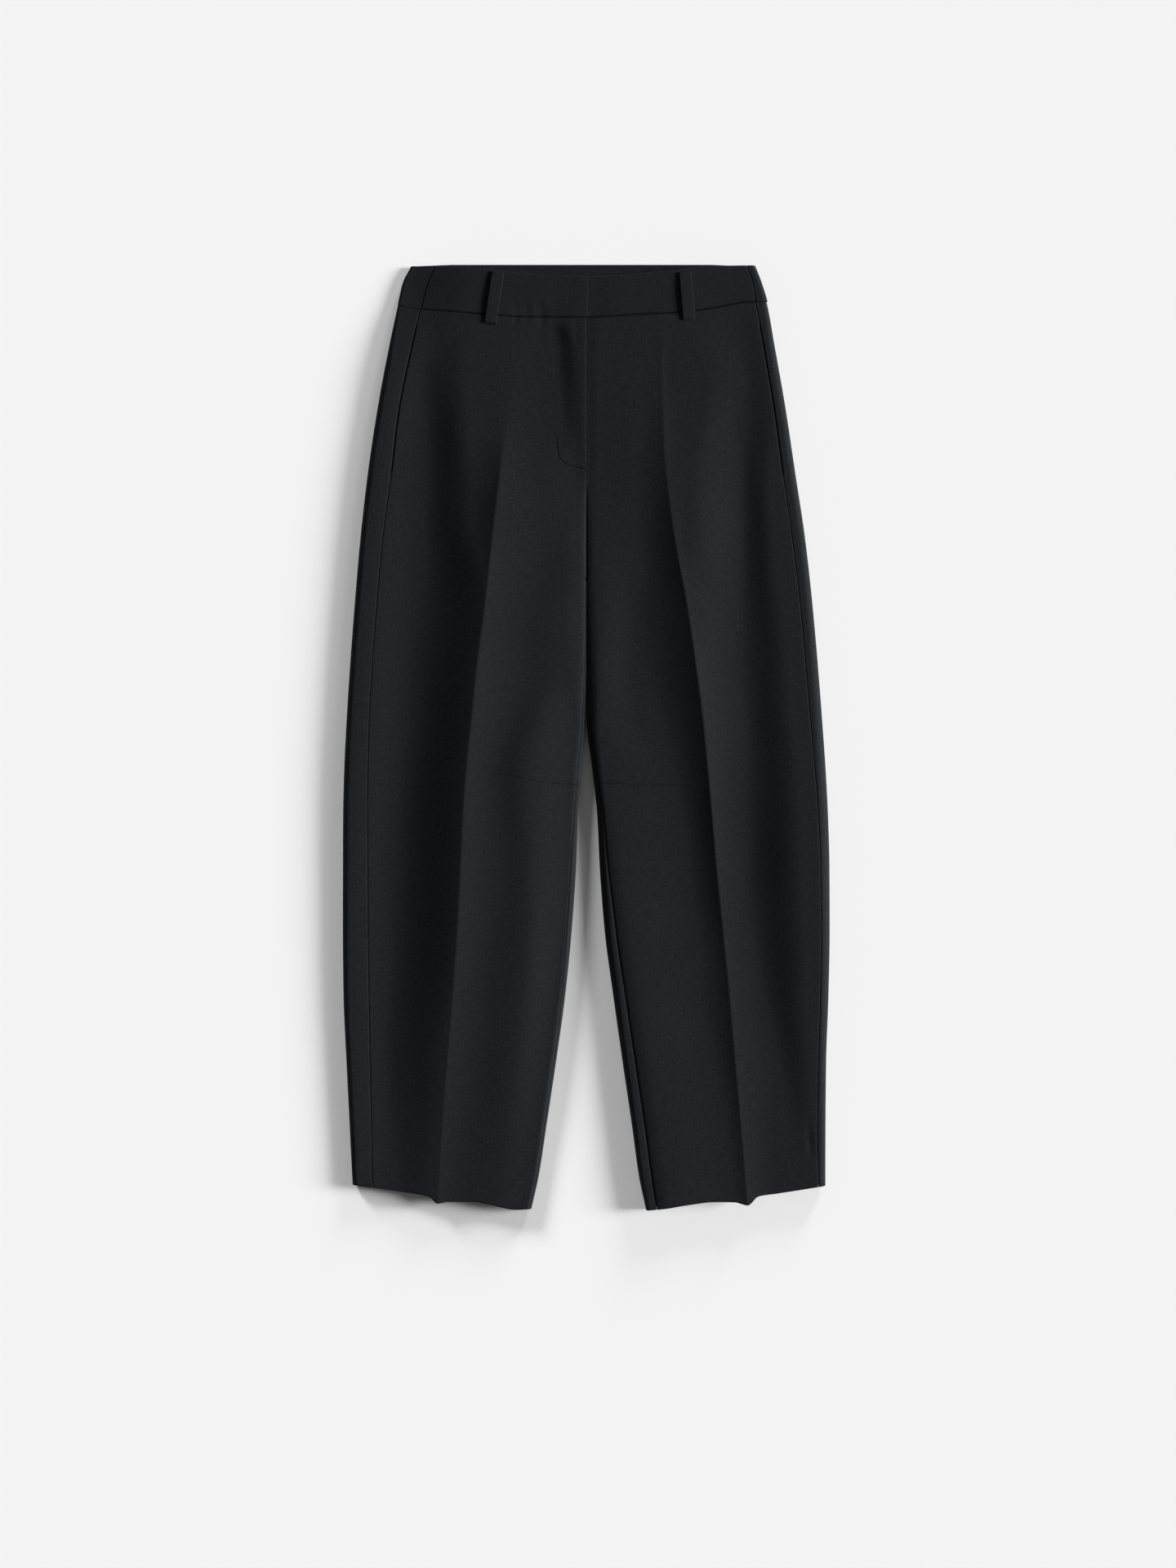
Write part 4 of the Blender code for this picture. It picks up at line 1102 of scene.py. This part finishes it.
class Waistband(bpy.types.Operator):
    """Makes the waistband: two fronts that lap, and the back in one piece"""
    bl_idname = "trousers.waistband"
    bl_label = "Waistband"

    def execute(self, context):
        sizes, colours = context.scene.trouser_sizes, context.scene.trouser_colours
        cloth = suiting_material("suiting waistband", colours.waistband, BAND_SLUB)
        right, left = leg_pair()
        rows = stations(0.0, WAIST_DOWN, BAND_ROWS, BAND_ZONES)[:, None]
        for leg, name, own, rise in (
                (right, "waistband_front_right", OVER_COLUMNS, LAP_RISE),
                (left, "waistband_front_left", UNDER_COLUMNS, -LAP_DROP)):
            self.front(leg, name, own, rise, rows, cloth, sizes.band_cloth)
        self.back(right, left, rows, cloth, sizes.band_cloth)
        return {"FINISHED"}

    def front(self, leg, name, own, rise, rows, cloth, thickness):
        """A front waistband: its own columns at the centre front, and then shares of the way to
        the side seam. rise lifts it at the centre front."""
        share = stations(0.0, 1.0, BAND_COLUMNS, BAND_SIDE_ZONES)
        seam_place = leg.side_seam(rows) - SEAM_GAP / 2.0
        begin = own[-1] + 1.0
        out = np.concatenate([own + 0.0 * rows, begin + (seam_place - begin) * share], axis=1)
        top, seam = leg.waist_top(out[-1]), leg.waist_seam(out[-1]) - WAIST_GAP / 2.0
        down = top + (seam - top) * rows / WAIST_DOWN
        high = leg.body(np.abs(out), down) + leg.fold_height(out, down)
        high = rounded(high, leg.outer(down) - out, leg.outer_radius(down), leg.outer_middle(down))
        high = high - BAND_SEAM_SHARE * SEAM_DEPTH * groove(leg.side_seam(rows) - out, SEAM_HALF)
        high = high - WAIST_DEPTH * groove(down - leg.waist_seam(out), WAIST_HALF)
        high = high + rise * (1.0 - smooth((out - LAP_OVER) / LAP_SLOPE))
        points = leg.place(out, down, high)
        # Painted shade in the waist seam and the side seam, and a painted highlight along the top edge
        shade = groove(down - leg.waist_seam(out), WAIST_SHADE)
        shade = np.maximum(shade, BAND_SIDE_PAINTED_SHADE * groove(leg.side_seam(rows) - out, SEAM_SHADE))
        shade = shade - RIM_LIGHT * groove(rows, RIM_HALF)
        mesh = grid_mesh(name + "_cloth", points, shade, None, leg.side > 0.0, 0)
        piece = cloth_object("trousers_" + name, mesh, cloth, thickness, BAND_BEVEL)
        lay(piece, name)

    def back(self, right, left, rows, cloth, thickness):
        """The back waistband, from side seam to side seam along the table."""
        halves = []
        for leg in (right, left):
            flat = np.ones(len(FLOOR_SHARES))
            top = line_around(leg, leg.waist_top, 0.0, BACK_TOP_DOWN * flat)
            seam = line_around(leg, leg.waist_seam, WAIST_DOWN, BACK_SEAM_DOWN * flat)
            seam = seam - WAIST_GAP / 2.0
            out, high = outer_back(leg, rows + 0.0 * top, 0.0)
            down = top + (seam - top) * rows / WAIST_DOWN
            halves.append(leg.place(out, down, high))
        points = np.concatenate([halves[0], halves[1][:, -2::-1]], axis=1)
        mesh = grid_mesh("waistband_back_cloth", points)
        piece = cloth_object("trousers_waistband_back", mesh, cloth, thickness, BAND_BEVEL)
        lay(piece, "waistband_back")


class BeltLoops(bpy.types.Operator):
    """Makes the five belt loops, two over the front and three under the back"""
    bl_idname = "trousers.belt_loops"
    bl_label = "Belt Loops"

    def execute(self, context):
        sizes, colours = context.scene.trouser_sizes, context.scene.trouser_colours
        cloth = suiting_material("suiting belt loop", colours.belt_loop, BAND_SLUB)
        legs = leg_pair()
        for loop in BELT_LOOPS:
            share = stations(0.0, 1.0, LOOP_ALONG, LOOP_ALONG_ZONES)[:, None]
            half = stations(-0.5, 0.5, LOOP_ACROSS, LOOP_ACROSS_ZONES)
            width, thickness = sizes.loop_width / MM, sizes.loop_cloth / MM
            run = np.array([loop.end_across - loop.top_across, loop.end_down - loop.top_down])
            length = np.hypot(*run)
            along, square = run / length, np.array([run[1], -run[0]]) / length
            across = loop.top_across + along[0] * length * share + square[0] * half * width
            down = loop.top_down + along[1] * length * share + square[1] * half * width
            if loop.on_top:
                leg = legs[0] if loop.top_across < 0.0 else legs[1]
                high = leg.body(np.abs(across), down) + LOOP_CLEAR + thickness
                high = high + loop.bow * np.sin(np.pi * share)
                high = high - LOOP_EDGE_DROP * groove(0.5 - np.abs(half), LOOP_EDGE_HALF) ** 2
                stitch = groove(LOOP_STITCH_OUT - np.abs(half), LOOP_STITCH_HALF)
                high = high - LOOP_STITCH_DROP * stitch
                high = high - LOOP_END_DROP * smooth((share - LOOP_END_START) / LOOP_END_RUN)
            else:
                high = np.zeros(across.shape)
            points = np.stack([across, LENGTH / 2.0 - down, high], axis=-1) * MM
            mesh = grid_mesh(loop.name + "_cloth", points, None, None, loop.on_top)
            piece = cloth_object("trousers_" + loop.name, mesh, cloth, sizes.loop_cloth, LOOP_BEVEL)
            lay(piece, loop.name)
        return {"FINISHED"}


class Studio(bpy.types.Operator):
    """Makes the pale floor, the soft lights and the camera straight above. The two fills light
    the floor alone, and only pieces of the right half cast the left fill's shadow"""
    bl_idname = "trousers.studio"
    bl_label = "Studio"

    def execute(self, context):
        colours, studio = context.scene.trouser_colours, context.scene.trouser_studio
        floor = self.floor(colours.floor)
        pool = bpy.data.collections.new("floor lights")
        pool.objects.link(floor)
        self.sun("key", studio.key, studio.key_turn, studio.key_height, studio.key_size)
        fills = []
        for name, strength, angles in (("floor fill right", studio.fill_right, RIGHT_FILL),
                                       ("floor fill left", studio.fill_left, LEFT_FILL)):
            fills.append(self.sun(name, strength, *(math.radians(angle) for angle in angles)))
            fills[-1].light_linking.receiver_collection = pool
        casts = bpy.data.collections.new("right half shadow")
        for piece in bpy.context.scene.objects:
            if piece.name.startswith("trousers_") and piece.name.endswith("_right"):
                casts.objects.link(piece)
        fills[1].light_linking.blocker_collection = casts
        self.room(studio.around)
        self.camera()
        context.scene.view_settings.view_transform = "Standard"
        return {"FINISHED"}

    def floor(self, colour):
        """A square of floor just under the cloth."""
        corners = np.array([(-1, -1), (1, -1), (1, 1), (-1, 1)], float) * FLOOR_HALF
        points = np.concatenate([corners, np.full((4, 1), -FLOOR_DROP)], axis=1)
        mesh = bpy.data.meshes.new("floor")
        mesh.from_pydata(points.tolist(), [], [(0, 1, 2, 3)])
        material = bpy.data.materials.new("pale floor")
        material.use_nodes = True
        shader = material.node_tree.nodes["Principled BSDF"]
        shader.inputs["Base Color"].default_value = (*colour, 1.0)
        shader.inputs["Roughness"].default_value = FLOOR_ROUGHNESS
        shader.inputs["Specular IOR Level"].default_value = 0.0
        mesh.materials.append(material)
        floor = bpy.data.objects.new("floor", mesh)
        bpy.context.scene.collection.objects.link(floor)
        return floor

    def sun(self, name, on_floor, turn, height, size):
        """A far soft light: its strength is what falls on the floor, over the sine of its height."""
        light = bpy.data.lights.new(name, "SUN")
        light.energy = math.pi * on_floor / math.sin(height)
        light.angle = size
        lamp = bpy.data.objects.new(name, light)
        lamp.rotation_euler = (0.0, math.pi / 2.0 - height, turn)
        bpy.context.scene.collection.objects.link(lamp)
        return lamp

    def room(self, around):
        """Even light from all round, which the camera sees as the pale room."""
        world = bpy.data.worlds.new("room")
        bpy.context.scene.world = world
        world.use_nodes = True
        tree = world.node_tree
        tree.nodes.clear()
        light, seen = tree.nodes.new("ShaderNodeBackground"), tree.nodes.new("ShaderNodeBackground")
        light.inputs["Color"].default_value = (1.0, 1.0, 1.0, 1.0)
        light.inputs["Strength"].default_value = around
        seen.inputs["Color"].default_value = ROOM_COLOUR
        mix, out = tree.nodes.new("ShaderNodeMixShader"), tree.nodes.new("ShaderNodeOutputWorld")
        path = tree.nodes.new("ShaderNodeLightPath")
        tree.links.new(path.outputs["Is Camera Ray"], mix.inputs[0])
        tree.links.new(light.outputs[0], mix.inputs[1])
        tree.links.new(seen.outputs[0], mix.inputs[2])
        tree.links.new(mix.outputs[0], out.inputs[0])

    def camera(self):
        """The camera looks straight down: the field's height fits the frame at the cloth."""
        data = bpy.data.cameras.new("camera")
        data.sensor_width = SENSOR
        data.lens = SENSOR * DISTANCE / FIELD
        data.clip_end = CAMERA_END
        camera = bpy.data.objects.new("camera", data)
        camera.location = (CAMERA_ACROSS, CAMERA_ALONG, DISTANCE + CLOTH_HEIGHT)
        bpy.context.scene.collection.objects.link(camera)
        bpy.context.scene.camera = camera


class TrousersPanel(bpy.types.Panel):
    """Lists the pieces and their sizes"""
    bl_idname = "VIEW3D_PT_trousers"
    bl_label = "Trousers"
    bl_space_type = "VIEW_3D"
    bl_region_type = "UI"
    bl_category = "Trousers"

    def draw(self, context):
        column = self.layout.column()
        scene = context.scene
        for group in (scene.trouser_sizes, scene.trouser_colours, scene.trouser_studio):
            for name in group.__annotations__:
                column.prop(group, name)
        for operator in OPERATORS:
            column.operator(operator.bl_idname)


OPERATORS = (FrontPanels, BackPanels, Waistband, BeltLoops, Studio)
GROUPS = (
    ("trouser_sizes", TrouserSizes),
    ("trouser_colours", TrouserColours),
    ("trouser_studio", StudioSettings),
)


def register():
    for name, group in GROUPS:
        bpy.utils.register_class(group)
        setattr(bpy.types.Scene, name, bpy.props.PointerProperty(type=group))
    for kind in (*OPERATORS, TrousersPanel):
        bpy.utils.register_class(kind)


def unregister():
    for kind in (TrousersPanel, *reversed(OPERATORS)):
        bpy.utils.unregister_class(kind)
    for name, group in reversed(GROUPS):
        delattr(bpy.types.Scene, name)
        bpy.utils.unregister_class(group)


def main():
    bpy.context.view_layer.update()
    register()
    bpy.ops.trousers.front_panels()
    bpy.ops.trousers.back_panels()
    bpy.ops.trousers.waistband()
    bpy.ops.trousers.belt_loops()
    bpy.ops.trousers.studio()


if __name__ == "__main__":
    main()
